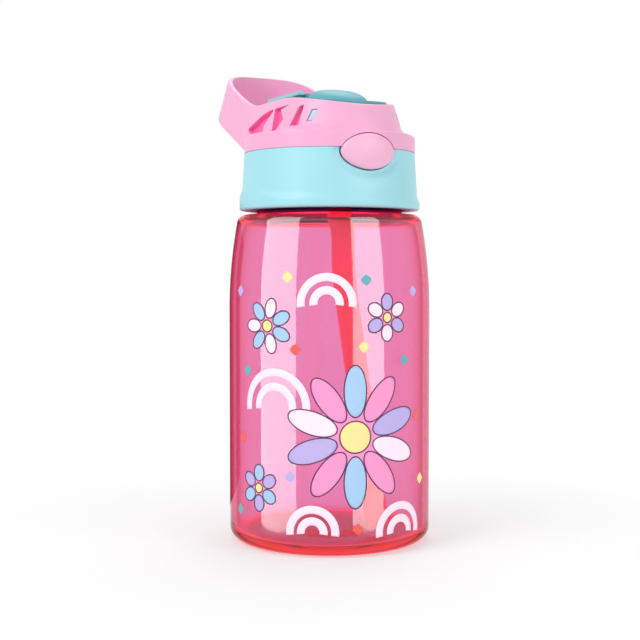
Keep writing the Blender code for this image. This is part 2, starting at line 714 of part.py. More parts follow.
def dome_rings(shrink, steps=28, levels=6):
    """Rings of the dome from its lower edge to its crown, moved inwards by shrink."""
    half_length = DOME_LENGTH / 2 - shrink
    half_width = DOME_WIDTH / 2 - shrink
    height = DOME_HEIGHT - shrink
    rings = []
    for level in range(levels + 1):
        lean = math.radians(90 * level / levels)
        spread = math.cos(lean) ** 0.7 if level < levels else 0
        ring = []
        for i in range(steps if spread else 1):
            turn = math.tau * i / steps
            x = DOME_CENTRE + spread * half_length * math.cos(turn)
            y = spread * half_width * math.sin(turn)
            ring.append((x, y, cover_plane(x) + height * math.sin(lean) ** 0.9))
        rings.append(ring)
    return rings


def cover_plate():
    """Flat plate round the dome, which fills the shell's opening. It starts deep and is cut level later."""
    corner = 0.2 * PLATE_RADIUS
    side = arc((FRONT_CENTRE, 0), PLATE_RADIUS, 0, 90, 10)
    side += arc((PLATE_REAR + corner, PLATE_RADIUS - corner), corner, 90, 180, 4)
    outline = side + [(x, -y) for x, y in reversed(side[1:])]
    depth = PLATE_THICKNESS / 2
    return sloped_plate("join_plate", outline, lambda x: cover_plane(x) - depth, PLATE_THICKNESS + depth)


def cover_underside():
    """Cutter that levels the dome and the plate to one lower side."""
    rear, front = DOME_CENTRE - DOME_LENGTH, FRONT_CENTRE + 2 * PLATE_RADIUS
    half = 2 * PLATE_RADIUS
    outline = [(rear, -half), (front, -half), (front, half), (rear, half)]
    return sloped_plate("cut_underside", outline, lambda x: cover_plane(x) - DOME_HEIGHT, DOME_HEIGHT)


def lowered_edge(rings):
    """The dome's rings with the lowest one drawn out along the wall to below the plate."""
    edge = [Vector(low).lerp(Vector(high), -1) for low, high in zip(rings[0], rings[1])]
    return [edge] + rings[1:]


def spout_cover(finish):
    cover = loft("spout_cover", lowered_edge(dome_rings(0)), finish)
    add(cover, cover_plate())
    cut(cover, loft("cut_dome_inside", lowered_edge(dome_rings(DOME_WALL))), cover_underside())
    tongue_rear = LATCH_BACK + LATCH_THICKNESS + NOSE_REACH + CLEARANCE
    tongue_bottom = RIM_FRONT - TONGUE_LENGTH
    tongue_top = cover_plane(tongue_rear) + PLATE_THICKNESS / 2
    arm_front = DOME_CENTRE - 0.25 * DOME_LENGTH
    arm_half = 0.6 * KNUCKLE_RADIUS
    for side, name in ((1, "left"), (-1, "right")):
        middle = side * (PRONG_GAP + PRONG_WIDTH) / 2
        low = (tongue_rear, middle - PRONG_WIDTH / 2, tongue_bottom)
        high = (tongue_rear + TONGUE_THICKNESS, middle + PRONG_WIDTH / 2, tongue_top)
        add(cover, box(f"join_{name}_tongue", low, high))
        outer = side * (FRAME_WIDTH / 2 - FRAME_WALL - RUNNING_GAP)
        ends = sorted((outer, outer - side * KNUCKLE_WIDTH))
        knuckle = arc((PIN_X, PIN_Z), KNUCKLE_RADIUS, 60, 300, 12)
        knuckle += [(arm_front, PIN_Z - arm_half), (arm_front, PIN_Z + arm_half)]
        add(cover, extruded(f"join_{name}_knuckle", knuckle, "Y", *ends))
    return cut(cover, pin_hole("cut_cover_pin", FRAME_WIDTH / 2))


def cover_pad(finish):
    top = cover_plane(PAD_X + PAD_RADIUS) + 0.93 * (DOME_HEIGHT - DOME_WALL) - CLEARANCE
    bottom = top - PAD_THICKNESS
    edge = 0.3 * PAD_THICKNESS
    profile = [(0, top), (PAD_RADIUS - edge, top), (PAD_RADIUS, top - edge), (PAD_RADIUS, bottom + edge)]
    profile += [(PAD_RADIUS - edge, bottom), (0, bottom)]
    return turned("cover_pad", profile, finish, SMALL_STEPS, (PAD_X, 0))


def hinge_pin(finish):
    half = FRAME_WIDTH / 2 - CLEARANCE
    outline = arc((PIN_X, PIN_Z), PIN_RADIUS, 0, 360, SMALL_STEPS)[:-1]
    return extruded("hinge_pin", outline, "Y", -half, half, finish)


def cover_spring(finish):
    radius = PIN_RADIUS + CLEARANCE + COVER_SPRING_WIRE
    path = coil_path((PIN_X, 0, PIN_Z), (0, 1, 0), radius, COVER_SPRING_WIDTH, COVER_SPRING_TURNS)
    return loft("cover_spring", sweep_rings(path, COVER_SPRING_WIRE, WIRE_STEPS), finish)


# Mouthpiece, straw and valve

def mouthpiece_socket(finish):
    top = FRAME_FLOOR + CLEARANCE + SOCKET_HEIGHT
    seat = FRAME_FLOOR + CLEARANCE
    under = DECK_BOTTOM - CLEARANCE
    flange = SOCKET_FLANGE_RADIUS
    edge = 0.3 * SOCKET_HEIGHT
    barb = under - 0.35 * SOCKET_HEIGHT
    profile = [(SOCKET_BORE, top), (flange - edge, top), (flange, top - edge), (flange, seat)]
    profile += [(SOCKET_STEM_RADIUS, seat), (SOCKET_STEM_RADIUS, under), (flange, under), (flange, barb)]
    profile += [(STUB_RADIUS, barb), (STUB_RADIUS, barb - STUB_LENGTH), (SOCKET_BORE, barb - STUB_LENGTH)]
    return turned("mouthpiece_socket", profile, finish, SMALL_STEPS, (SOCKET_X, 0))


def mouthpiece(finish):
    """Soft nozzle, made upright on its round root and folded forwards."""
    ball = arc((0, 0), NOZZLE_BALL, -60, 0, 3)
    tip = NOZZLE_TIP_RADIUS
    body = [(0.94 * NOZZLE_BALL, 0.15), (0.80 * tip, 0.40), (0.97 * tip, 0.70)]
    body += [(tip, 0.80), (0.94 * tip, 0.92), (0.72 * tip, 1)]
    profile = [(NOZZLE_BORE, NOZZLE_LENGTH)]
    profile += [(radius, share * NOZZLE_LENGTH) for radius, share in reversed(body)]
    profile += ball[::-1]
    profile += [(NOZZLE_BORE, ball[0][1])]
    made = turned("mouthpiece", profile, finish, SMALL_STEPS)
    made.data.transform(Matrix.Rotation(NOZZLE_FOLD, 4, "Y"))
    made.data.transform(Matrix.Translation((SOCKET_X, 0, NOZZLE_PIVOT)))
    return made


def straw(finish):
    top = DECK_BOTTOM - CLEARANCE - 0.35 * SOCKET_HEIGHT - CLEARANCE
    bore = STUB_RADIUS + CLEARANCE
    foot = Vector(STRAW_FOOT)
    head = Vector((SOCKET_X, 0, top))
    bend = Vector((SOCKET_X, 0, top - STRAW_STRAIGHT))
    route = [head, (head + bend) / 2, bend]
    middle = Vector(STRAW_MIDDLE)
    route += [Vector(STRAW_BEND), middle, middle.lerp(foot, 0.5)]
    path = smooth_points(route + [foot], 3)
    outer = sweep_rings(path, STRAW_RADIUS, 14)
    inner = sweep_rings(path, bore, 14)
    return loft("straw", outer + inner[::-1], finish, closed=True)


def vent_valve(finish):
    top = DECK_TOP + VALVE_CAP
    under = DECK_BOTTOM - CLEARANCE
    barb = 0.9 * VALVE_RADIUS
    edge = 0.3 * VALVE_CAP
    profile = [(0, top), (VALVE_RADIUS - edge, top), (VALVE_RADIUS, top - edge), (VALVE_RADIUS, DECK_TOP)]
    profile += [(VALVE_STEM, DECK_TOP), (VALVE_STEM, under), (barb, under), (barb, under - VALVE_CAP)]
    profile += [(0.4 * barb, under - 3 * VALVE_CAP), (0, under - 3 * VALVE_CAP)]
    return turned("vent_valve", profile, finish, SMALL_STEPS, VALVE_PLACE)


# Button, latch and its spring

def push_button(finish):
    back = COLLAR_RADIUS - BUTTON_DEPTH
    crown = BUTTON_DEPTH + BUTTON_CROWN
    rings = [[(back, 0, BUTTON_MIDDLE)]]
    shape = [(0.96, 0), (1, 0.12), (1, 0.36), (0.96, 0.55), (0.85, 0.74), (0.62, 0.90), (0.3, 0.98)]
    rings += [button_section(0, back + depth * crown, scale) for scale, depth in shape]
    rings.append([(back + crown, 0, BUTTON_MIDDLE)])
    return loft("push_button", rings, finish)


def latch_fork(finish):
    half_stem = LATCH_STEM_WIDTH / 2
    top = LATCH_BOTTOM + LATCH_STEM_HEIGHT
    front = LATCH_BACK + LATCH_THICKNESS
    half_fork = PRONG_GAP / 2 + PRONG_WIDTH
    fork = box("latch_fork", (LATCH_BACK, -half_fork, LATCH_BOTTOM), (front, half_fork, top), finish)
    stem = box("join_latch_stem", (LATCH_BACK, -half_stem, LATCH_BOTTOM), (LATCH_FRONT, half_stem, top))
    add(fork, stem)
    prong_top = FRAME_TOP
    prong = [(LATCH_BACK, LATCH_BOTTOM), (front, LATCH_BOTTOM), (front, prong_top - NOSE_HEIGHT)]
    prong += [(front + NOSE_REACH, prong_top - NOSE_HEIGHT), (front, prong_top), (LATCH_BACK, prong_top)]
    for side, name in ((1, "left"), (-1, "right")):
        ends = sorted((side * PRONG_GAP / 2, side * half_fork))
        add(fork, extruded(f"join_{name}_prong", prong, "Y", *ends))
    return fork


def spring_seat_face():
    """X of the face that the button spring pushes from."""
    return LATCH_BACK - BUTTON_SPRING_LENGTH - 2 * CLEARANCE


def button_spring(finish):
    rear = spring_seat_face() + CLEARANCE + BUTTON_SPRING_WIRE
    front = LATCH_BACK - CLEARANCE - BUTTON_SPRING_WIRE
    centre = ((rear + front) / 2, 0, FRAME_FLOOR + CLEARANCE + BUTTON_SPRING_RADIUS + BUTTON_SPRING_WIRE)
    path = coil_path(centre, (1, 0, 0), BUTTON_SPRING_RADIUS, front - rear, BUTTON_SPRING_TURNS)
    return loft("button_spring", sweep_rings(path, BUTTON_SPRING_WIRE, WIRE_STEPS), finish)


def main():
    clear_scene()
    clear_pink = material("clear_pink", (0.90, 0.22, 0.45), 0.05, alpha=0.45)
    pink = material("pink", (0.95, 0.52, 0.74), 0.35)
    light_blue = material("light_blue", (0.55, 0.87, 0.92), 0.35)
    teal = material("teal", (0.36, 0.76, 0.77), 0.35)
    rose = material("rose", (0.85, 0.12, 0.28), 0.3)
    silicone = material("silicone", (0.92, 0.92, 0.90), 0.5)
    white = material("white", (0.90, 0.90, 0.88), 0.4)
    steel = material("steel", (0.62, 0.62, 0.64), 0.25, metallic=1.0)

    bottle_body(clear_pink)
    lid_axis = axis_empty("lid_axis", (0, 0, SEAM))
    cover_axis = axis_empty("cover_axis", (PIN_X, 0, PIN_Z))
    nozzle_axis = axis_empty("nozzle_axis", (SOCKET_X, 0, NOZZLE_PIVOT))
    button_axis = axis_empty("button_axis", (COLLAR_RADIUS, 0, BUTTON_MIDDLE))
    carry(lid_axis, neck_gasket(silicone), collar(light_blue), handle_shell(pink), spout_frame(teal))
    carry(lid_axis, hinge_pin(steel), cover_spring(steel), mouthpiece_socket(silicone))
    carry(lid_axis, straw(rose), vent_valve(silicone), button_spring(steel))
    carry(cover_axis, spout_cover(teal), cover_pad(silicone))
    carry(nozzle_axis, mouthpiece(silicone))
    carry(button_axis, push_button(pink), latch_fork(white))
    carry(lid_axis, cover_axis, nozzle_axis, button_axis)


main()
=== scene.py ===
# %% [markdown]
# A child's straw bottle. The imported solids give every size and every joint. This lesson dresses them: clear
# tinted plastic for the bottle, satin moulded plastic for the lid, soft silicone for the mouthpiece, steel
# wire for the springs, and a printed pattern of flowers and arcs round the bottle.

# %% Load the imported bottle
import math

import bmesh
import bpy
from mathutils import Matrix, Vector


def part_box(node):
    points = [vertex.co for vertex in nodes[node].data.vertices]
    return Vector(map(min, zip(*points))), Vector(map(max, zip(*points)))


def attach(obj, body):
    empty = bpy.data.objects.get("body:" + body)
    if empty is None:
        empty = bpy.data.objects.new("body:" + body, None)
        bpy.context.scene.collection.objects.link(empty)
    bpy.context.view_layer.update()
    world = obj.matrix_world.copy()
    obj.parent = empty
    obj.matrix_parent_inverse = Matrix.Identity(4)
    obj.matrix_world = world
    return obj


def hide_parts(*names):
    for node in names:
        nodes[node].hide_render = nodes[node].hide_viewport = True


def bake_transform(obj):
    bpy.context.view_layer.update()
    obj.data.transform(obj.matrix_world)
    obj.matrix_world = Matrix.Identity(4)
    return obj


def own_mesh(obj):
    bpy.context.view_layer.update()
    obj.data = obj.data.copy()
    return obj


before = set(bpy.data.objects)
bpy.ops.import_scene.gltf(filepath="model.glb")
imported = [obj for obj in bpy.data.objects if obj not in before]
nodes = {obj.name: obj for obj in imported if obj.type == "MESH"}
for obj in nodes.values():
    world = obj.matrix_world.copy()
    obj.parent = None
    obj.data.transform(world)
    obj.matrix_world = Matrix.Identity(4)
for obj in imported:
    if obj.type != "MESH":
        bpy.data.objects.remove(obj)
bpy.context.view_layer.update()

# %% [markdown]
# The camera stands a little below the lid, about half a metre away, and looks at the bottle from the side
# of the push button. A camera is placed best by what it is: a distance, a height and three small turns. The
# lens comes from the photograph's perspective, so nothing has to be fitted afterwards.

# %% Camera
VIEW_AZIMUTH = math.radians(63)
CAMERA_DISTANCE = 0.460
CAMERA_HEIGHT = 0.0994
CAMERA_DOWN = math.radians(2.31)
CAMERA_LEFT = math.radians(0.44)
LENS = 69.75
SENSOR = 36.0

camera_data = bpy.data.cameras.new("camera")
camera_data.lens = LENS
camera_data.sensor_width = SENSOR
camera_data.clip_start = 0.01
camera = bpy.data.objects.new("camera", camera_data)
camera.location = (
    CAMERA_DISTANCE * math.sin(VIEW_AZIMUTH),
    -CAMERA_DISTANCE * math.cos(VIEW_AZIMUTH),
    CAMERA_HEIGHT,
)
camera.rotation_euler = (math.pi / 2 - CAMERA_DOWN, 0, VIEW_AZIMUTH + CAMERA_LEFT)
bpy.context.scene.collection.objects.link(camera)
bpy.context.scene.camera = camera
bpy.context.scene.view_settings.view_transform = "Standard"
print("camera at", tuple(round(value, 3) for value in camera.location))

# %% [markdown]
# A finish is a small network of nodes. Written by hand each sum would take three lines, so one class wraps
# a socket and lets Python's own signs add the Math nodes.

# %% Sums on sockets
class Value:
    """A number on a shader socket, which takes part in Python sums."""

    def __init__(self, finish, socket):
        self.finish = finish
        self.socket = socket

    def sum_node(self, operation, first, second):
        return self.finish.node("ShaderNodeMath", {"operation": operation}, {0: first, 1: second})

    def __add__(self, other):
        return self.sum_node("ADD", self, other)

    def __radd__(self, other):
        return self.sum_node("ADD", other, self)

    def __sub__(self, other):
        return self.sum_node("SUBTRACT", self, other)

    def __rsub__(self, other):
        return self.sum_node("SUBTRACT", other, self)

    def __mul__(self, other):
        return self.sum_node("MULTIPLY", self, other)

    def __rmul__(self, other):
        return self.sum_node("MULTIPLY", other, self)


print("sums ready")

# %% [markdown]
# A second class holds a material while it is made. One method makes every other kind of node in one call:
# its type, its settings, and what goes into its sockets.

# %% Finish
class Finish:
    """A material under construction."""

    def __init__(self, name, **sockets):
        self.material = bpy.data.materials.new(name)
        self.material.use_nodes = True
        self.tree = self.material.node_tree
        self.shader = self.tree.nodes["Principled BSDF"]
        for socket, value in sockets.items():
            self.shader.inputs[socket.replace("_", " ").title().replace("Ior", "IOR")].default_value = value

    def plug(self, socket, value):
        if isinstance(value, Value):
            self.tree.links.new(value.socket, socket)
        else:
            socket.default_value = value

    def node(self, kind, settings=None, sockets=None, output=0):
        """A node of a kind, with its settings first, then values or links for its sockets."""
        made = self.tree.nodes.new(kind)
        for name, value in (settings or {}).items():
            setattr(made, name, value)
        for name, value in (sockets or {}).items():
            self.plug(made.inputs[name], value)
        return Value(self, made.outputs[output])

    def feed(self, socket, value):
        self.plug(self.shader.inputs[socket], value)

    def show(self, part, value):
        """What the finish shows as its Surface or its Volume."""
        self.plug(self.tree.nodes["Material Output"].inputs[part], value)

    def place(self):
        """Where a point of the surface is on the bottle, in metres."""
        return self.node("ShaderNodeTexCoord", output="Object")

    def noise(self, scale, detail=3.0, stretch=(1, 1, 1)):
        """Soft random values from 0 to 1."""
        sockets = {"Vector": self.place(), "Scale": stretch}
        spot = self.node("ShaderNodeMapping", {"vector_type": "POINT"}, sockets)
        return self.node("ShaderNodeTexNoise", None, {"Vector": spot, "Scale": scale, "Detail": detail})

    def blend(self, share, first, second):
        """A colour between two others."""
        settings = {"data_type": "RGBA"}
        return self.node("ShaderNodeMix", settings, {"Factor": share, 6: first, 7: second}, output=2)

    def bump(self, height, strength, distance):
        sockets = {"Height": height, "Strength": strength, "Distance": distance}
        self.feed("Normal", self.node("ShaderNodeBump", None, sockets))


print("finish class ready")

# %% [markdown]
# Colours are easiest to pick as a screen shows them, but a shader counts light. One helper turns the first
# into the second, and another makes a colour a little lighter or darker.

# %% Colours
def srgb(red, green, blue):
    """A screen colour of 0 to 255 as the linear colour that a shader takes."""
    def linear(value):
        share = value / 255
        return share / 12.92 if share <= 0.04045 else ((share + 0.055) / 1.055) ** 2.4
    return (linear(red), linear(green), linear(blue), 1.0)


def tinted(colour, share):
    """The colour, lighter above 1 and darker below."""
    return tuple(min(value * share, 1.0) for value in colour[:3]) + (1.0,)


print("mid grey is", round(srgb(128, 128, 128)[0], 3), "in light")

# %% [markdown]
# The lid is injection moulded in satin plastic. Its colour is almost even, with faint clouds where the melt
# flowed, and its polish varies a little from handling. A fine grain in the bump breaks up the highlights as
# the texture of a steel mould does. Light also soaks into pink plastic and comes out deeper in hollows, so an
# Ambient Occlusion node finds those and paints a deeper pink there as shade. Each colour is the same recipe,
# so one function makes them all. Little light reaches the straw inside the tinted bottle, so a faint painted
# glow holds its colour.

# %% Moulded plastic
def moulded_plastic(name, colour, roughness=0.42, coat=0.05, hollow=None):
    finish = Finish(name, coat_weight=coat, coat_roughness=0.2, ior=1.47)
    clouds = finish.noise(60, 4)
    handling = finish.noise(220, 5)
    melt_and_shade = finish.blend(clouds, tinted(colour, 0.955), tinted(colour, 1.045))
    # Painted shade: a deeper pink where the Ambient Occlusion node finds a hollow.
    if hollow:
        sky = finish.node("ShaderNodeAmbientOcclusion", {"samples": 12}, {"Distance": 0.06}, output="AO")
        painted_hollow_shade = finish.node("ShaderNodeMapRange", None, {"Value": sky, "From Min": 0.75, "From Max": 0.4})
        melt_and_shade = finish.blend(painted_hollow_shade, melt_and_shade, hollow)
    finish.feed("Base Color", melt_and_shade)
    finish.feed("Roughness", roughness - 0.06 + 0.12 * handling)
    finish.bump(finish.noise(3200, 2), 0.05, 0.00006)
    return finish.material


# lid_pink takes the painted shade, a deeper pink in its hollows.
lid_pink = moulded_plastic("lid_pink", srgb(243, 174, 210), hollow=srgb(255, 132, 192))
button_pink = moulded_plastic("button_pink", srgb(246, 184, 214), roughness=0.38)
collar_blue = moulded_plastic("collar_blue", srgb(162, 222, 232))
cover_teal = moulded_plastic("cover_teal", srgb(92, 168, 179), roughness=0.46)
frame_teal = moulded_plastic("frame_teal", srgb(158, 224, 230))
# A deeper pink for the band behind the windows: painted shade.
window_shade_pink = moulded_plastic("window_shade_pink", srgb(252, 112, 180))
latch_white = moulded_plastic("latch_white", srgb(236, 236, 232), roughness=0.42)
straw_rose = moulded_plastic("straw_rose", srgb(255, 64, 96), roughness=0.25)
# Painted light: a faint red glow on the straw, which is no lamp.
straw_glow = straw_rose.node_tree.nodes["Principled BSDF"].inputs
straw_glow["Emission Color"].default_value = srgb(255, 30, 66)
straw_glow["Emission Strength"].default_value = 0.3
print("moulded plastics ready")

# %% [markdown]
# The bottle is clear plastic with a pink tint. Two things colour it. The surface tints every ray that
# passes a wall, and the mass of the plastic swallows green and blue along the way, so the wall turns red
# where it is looked through edge-on. Absorption is a volume, which gives that by itself. The shoulder's
# edge and the heel also gather the light that runs along inside the wall and glow red. A path tracer is
# slow to find that light, so it is painted in: masks by height and by the square of the reach from the axis
# deepen the tint there and add a faint painted glow. The neck's root lies in the collar's shade, which is
# painted in as a darker band. Seen at a flat angle the wall is tinted twice, so a Layer Weight node deepens
# its edges and lets the polish fade there.

# %% Clear plastic
BRIM_HEIGHT, BRIM_REACH = (0.1169, 0.1188), (0.00090, 0.00098)
HEEL_HEIGHT, HEEL_REACH = (0.0048, 0.0012), (0.0009, 0.0011)
NECK_REACH, NECK_STARTS, NECK_ENDS = (0.00096, 0.00087), (0.1185, 0.1194), (0.1250, 0.1230)


def clear_plastic(name, tint, mass_colour, mass_density):
    finish = Finish(name, transmission_weight=1.0, ior=1.16)
    finish.shader.inputs["Coat Roughness"].default_value = 0.07
    handling = finish.noise(90, 4)
    finish.feed("Roughness", 0.012 + 0.03 * handling)
    side_on = finish.node("ShaderNodeLayerWeight", None, {"Blend": 0.5}, output="Facing")
    grazing = finish.node("ShaderNodeMapRange", None, {"Value": side_on, "From Min": 0.5, "From Max": 0.85})
    spot = finish.place()
    x, y, height = [
        finish.node("ShaderNodeSeparateXYZ", None, {"Vector": spot}, output=axis) for axis in "XYZ"
    ]

    def ramp(value, start, end):
        return finish.node("ShaderNodeMapRange", None, {"Value": value, "From Min": start, "From Max": end})

    reach = x * x + y * y
    # Masks for painted light at the shoulder's edge and the heel.
    brim = ramp(height, *BRIM_HEIGHT) * ramp(reach, *BRIM_REACH)
    heel = ramp(height, *HEEL_HEIGHT) * ramp(reach, *HEEL_REACH)
    # Painted shade: a dark band at the neck's root stands for the collar's shade.
    neck = ramp(reach, *NECK_REACH) * ramp(height, *NECK_STARTS) * ramp(height, *NECK_ENDS)
    finish.feed("Coat Weight", ramp(side_on, 0.62, 0.36) * (1 - 0.85 * brim))
    wall = finish.blend(grazing, tint, (0.85, 0.13, 0.24, 1.0))
    wall = finish.blend(ramp(side_on, 0.64, 0.8), wall, (0.52, 0.06, 0.14, 1.0))
    # Painted light: a deeper red at the shoulder's edge and the heel.
    wall = finish.blend(brim + ramp(height, *HEEL_HEIGHT), wall, (0.92, 0.15, 0.26, 1.0))
    # Painted shade: the dark colour of the neck band.
    finish.feed("Base Color", finish.blend(neck, wall, (0.1, 0.015, 0.1, 1.0)))
    # Painted light: a faint red glow at the shoulder's edge and the heel.
    finish.feed("Emission Color", finish.blend(brim + 0.6 * heel, (0, 0, 0, 1), (0.42, 0.0, 0.022, 1)))
    finish.shader.inputs["Emission Strength"].default_value = 1.0
    mass = {"Color": mass_colour, "Density": mass_density}
    finish.show("Volume", finish.node("ShaderNodeVolumeAbsorption", None, mass))
    return finish.material


clear_pink = clear_plastic("clear_pink", (0.92, 0.59, 0.83, 1.0), (0.97, 0.30, 0.48, 1.0), 190.0)
print("clear plastic ready")

# %% [markdown]
# Silicone is soft and a little waxy: pale, without gloss, with a fine bloom. Drawn steel wire is bright
# along its length with faint lines from the die.

# %% Silicone and steel
def soft_silicone(name, colour):
    finish = Finish(name, ior=1.41)
    bloom = finish.noise(140, 4)
    finish.feed("Base Color", finish.blend(bloom, tinted(colour, 0.94), tinted(colour, 1.03)))
    finish.feed("Roughness", 0.46 + 0.16 * bloom)
    finish.bump(finish.noise(2600, 3), 0.12, 0.00008)
    return finish.material


def drawn_steel(name):
    finish = Finish(name, metallic=1.0)
    lines = finish.noise(900, 4, stretch=(1, 0.1, 1))
    finish.feed("Base Color", finish.blend(lines, srgb(176, 178, 182), srgb(214, 214, 216)))
    finish.feed("Roughness", 0.2 + 0.16 * lines)
    return finish.material


silicone = soft_silicone("silicone", srgb(240, 238, 232))
spring_steel = drawn_steel("spring_steel")
print("silicone and steel ready")

# %% [markdown]
# Most pieces are skins over rows of points: a turned profile, a swept wall, a coil. One function joins the
# rows, and the others only work out where the points are.

# %% Skins
def finish_mesh(name, bm, material, sharp=40):
    bmesh.ops.recalc_face_normals(bm, faces=bm.faces)
    mesh = bpy.data.meshes.new(name)
    bm.to_mesh(mesh)
    bm.free()
    piece = bpy.data.objects.new(name, mesh)
    bpy.context.scene.collection.objects.link(piece)
    shade(piece, sharp)
    if material:
        mesh.materials.append(material)
    return piece


def shade(piece, sharp=40):
    piece.data.shade_smooth()
    piece.data.set_sharp_from_angle(angle=math.radians(sharp))


def skin(name, rows, material=None, closed=False, caps=True, sharp=40):
    """Joins rings of points. A ring of one point is a pole, and open ends get caps."""
    bm = bmesh.new()
    rings = [[bm.verts.new(point) for point in row] for row in rows]
    pairs = list(zip(rings, rings[1:]))
    if closed:
        pairs.append((rings[-1], rings[0]))
    for first, second in pairs:
        count = max(len(first), len(second))
        for i in range(count):
            j = (i + 1) % count
            if len(first) == 1:
                bm.faces.new((first[0], second[j], second[i]))
            elif len(second) == 1:
                bm.faces.new((first[i], first[j], second[0]))
            else:
                bm.faces.new((first[i], first[j], second[j], second[i]))
    if caps and not closed:
        for ring in (rings[0], rings[-1]):
            if len(ring) > 1:
                bm.faces.new(ring)
    return finish_mesh(name, bm, material, sharp)


print("skins ready")

# %% [markdown]
# Three kinds of row are needed often. A turned piece takes a profile round the vertical, as a lathe does. A
# prism pushes an outline along an axis, and a block is a prism over a rectangle.

# %% Turned pieces, prisms and blocks
def turned(name, profile, material=None, steps=128, place=(0, 0), rise=None):
    """Turns (radius, height) points about the vertical. rise gives a point's height by its angle."""
    rows = []
    for index, (radius, height) in enumerate(profile):
        extra = (rise or {}).get(index, lambda turn: 0)
        turns = [math.tau * i / steps for i in range(steps if radius else 1)]
        rows.append([
            (place[0] + radius * math.cos(t), place[1] + radius * math.sin(t), height + extra(t))
            for t in turns
        ])
    return skin(name, rows, material, closed=profile[0][0] > 0 or profile[-1][0] > 0)


def prism(name, outline, axis, low, high, material=None):
    """Pushes an outline along X, Y or Z; low and high may be heights that depend on the point."""
    def place(point, level):
        coords = list(point)
        coords.insert("XYZ".index(axis), level(point) if callable(level) else level)
        return coords
    return skin(name, [[place(p, level) for p in outline] for level in (low, high)], material)


def block(name, low, high, material=None):
    outline = [(low[0], low[1]), (high[0], low[1]), (high[0], high[1]), (low[0], high[1])]
    return prism(name, outline, "Z", low[2], high[2], material)


print("turned pieces, prisms and blocks ready")

# %% [markdown]
# Joins and cuts use the Boolean modifier, which is settled into the mesh at once so that no cutter is left
# in the scene. They leave corners on top of each other, which are welded, and on most joined pieces a small
# bevel then rounds the edges.

# %% Joins, cuts and soft edges
def settle(piece):
    """Turns a piece's modifiers into its mesh."""
    graph = bpy.context.evaluated_depsgraph_get()
    mesh = bpy.data.meshes.new_from_object(piece.evaluated_get(graph))
    piece.modifiers.clear()
    piece.data = mesh
    return piece


def join_or_cut(piece, operation, tools):
    for tool in tools:
        step = piece.modifiers.new(tool.name, "BOOLEAN")
        step.operation = operation
        step.object = tool
    settle(piece)
    for tool in tools:
        bpy.data.objects.remove(tool)
    shade(piece)
    return piece


def join(piece, *tools):
    return join_or_cut(piece, "UNION", tools)


def cut(piece, *tools):
    return join_or_cut(piece, "DIFFERENCE", tools)


WELD_REACH = 0.000002


def weld(piece):
    """Merges the corners that joins and cuts leave on top of each other."""
    bm = bmesh.new()
    bm.from_mesh(piece.data)
    bmesh.ops.remove_doubles(bm, verts=bm.verts, dist=WELD_REACH)
    bmesh.ops.dissolve_degenerate(bm, edges=bm.edges, dist=WELD_REACH)
    bm.to_mesh(piece.data)
    bm.free()


def soften(piece, width, segments=2, angle=35):
    """Rounds the sharp edges, as a mould does."""
    weld(piece)
    step = piece.modifiers.new("soft_edges", "BEVEL")
    step.width = width
    step.segments = segments
    step.limit_method = "ANGLE"
    step.angle_limit = math.radians(angle)
    step.use_clamp_overlap = True
    settle(piece)
    weld(piece)
    shade(piece, 30)
    return piece


print("joins and cuts ready")

# %% [markdown]
# Curves come as lists of points: an arc for profiles, a smooth line through a few points, and rings round a
# path, which make a tube or a wire. A last helper eases a share from 0 to 1, so that a form starts and ends
# softly.

# %% Curves
def arc(centre, radius, start, end, steps):
    turns = [math.radians(start + (end - start) * i / steps) for i in range(steps + 1)]
    return [(centre[0] + radius * math.cos(t), centre[1] + radius * math.sin(t)) for t in turns]


def smooth_points(points, per_span, closed=False):
    """A smooth curve through points."""
    found = [Vector(point) for point in points]
    count = len(found)
    result = []
    for i in range(count if closed else count - 1):
        near = []
        for k in (-1, 0, 1, 2):
            near.append(found[(i + k) % count] if closed else found[min(max(i + k, 0), count - 1)])
        a, b, c, d = near
        for step in range(per_span):
            t = step / per_span
            bend = (2 * a - 5 * b + 4 * c - d) * t ** 2 + (3 * b - a - 3 * c + d) * t ** 3
            result.append(0.5 * (2 * b + (c - a) * t + bend))
    if not closed:
        result.append(found[-1])
    return result


def tube_rows(path, radius, steps):
    """Rings round a path. radius is a number, or one number for each point."""
    rows = []
    side = None
    for i, point in enumerate(path):
        ahead = (path[min(i + 1, len(path) - 1)] - path[max(i - 1, 0)]).normalized()
        side = side or ahead.orthogonal().normalized()
        side = (side - ahead * side.dot(ahead)).normalized()
        other = ahead.cross(side)
        size = radius if isinstance(radius, float) else radius[i]
        turns = [math.tau * k / steps for k in range(steps)]
        rows.append([point + size * (math.cos(t) * side + math.sin(t) * other) for t in turns])
    return rows


def eased(share):
    """From 0 to 1, level at both ends."""
    held = min(max(share, 0), 1)
    return held ** 2 * (3 - 2 * held)


print("curves ready")

# %% [markdown]
# Every piece is told which body it rides on and which solids it stands for. The two gaps are those between
# pieces that sit on each other and round pieces that move.

# %% Dressing a piece
def dress(piece, body, slot, *stands_for):
    """Says what a piece rides on and which solids it stands for; slot is not used."""
    if body:
        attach(piece, body)
    if stands_for:
        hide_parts(*stands_for)
    print(piece.name, "made:", len(piece.data.vertices), "points")
    return piece


CLEARANCE = 0.0003
RUNNING_GAP = 0.0004

# %% [markdown]
# The bottle is blow moulded: a straight barrel that draws in towards a soft shoulder, a round heel at the
# base and a plain neck. A turned profile with an inside and an outside gives a real wall, and the light
# bends in it as it does in the real one. The points are dense where the profile turns.

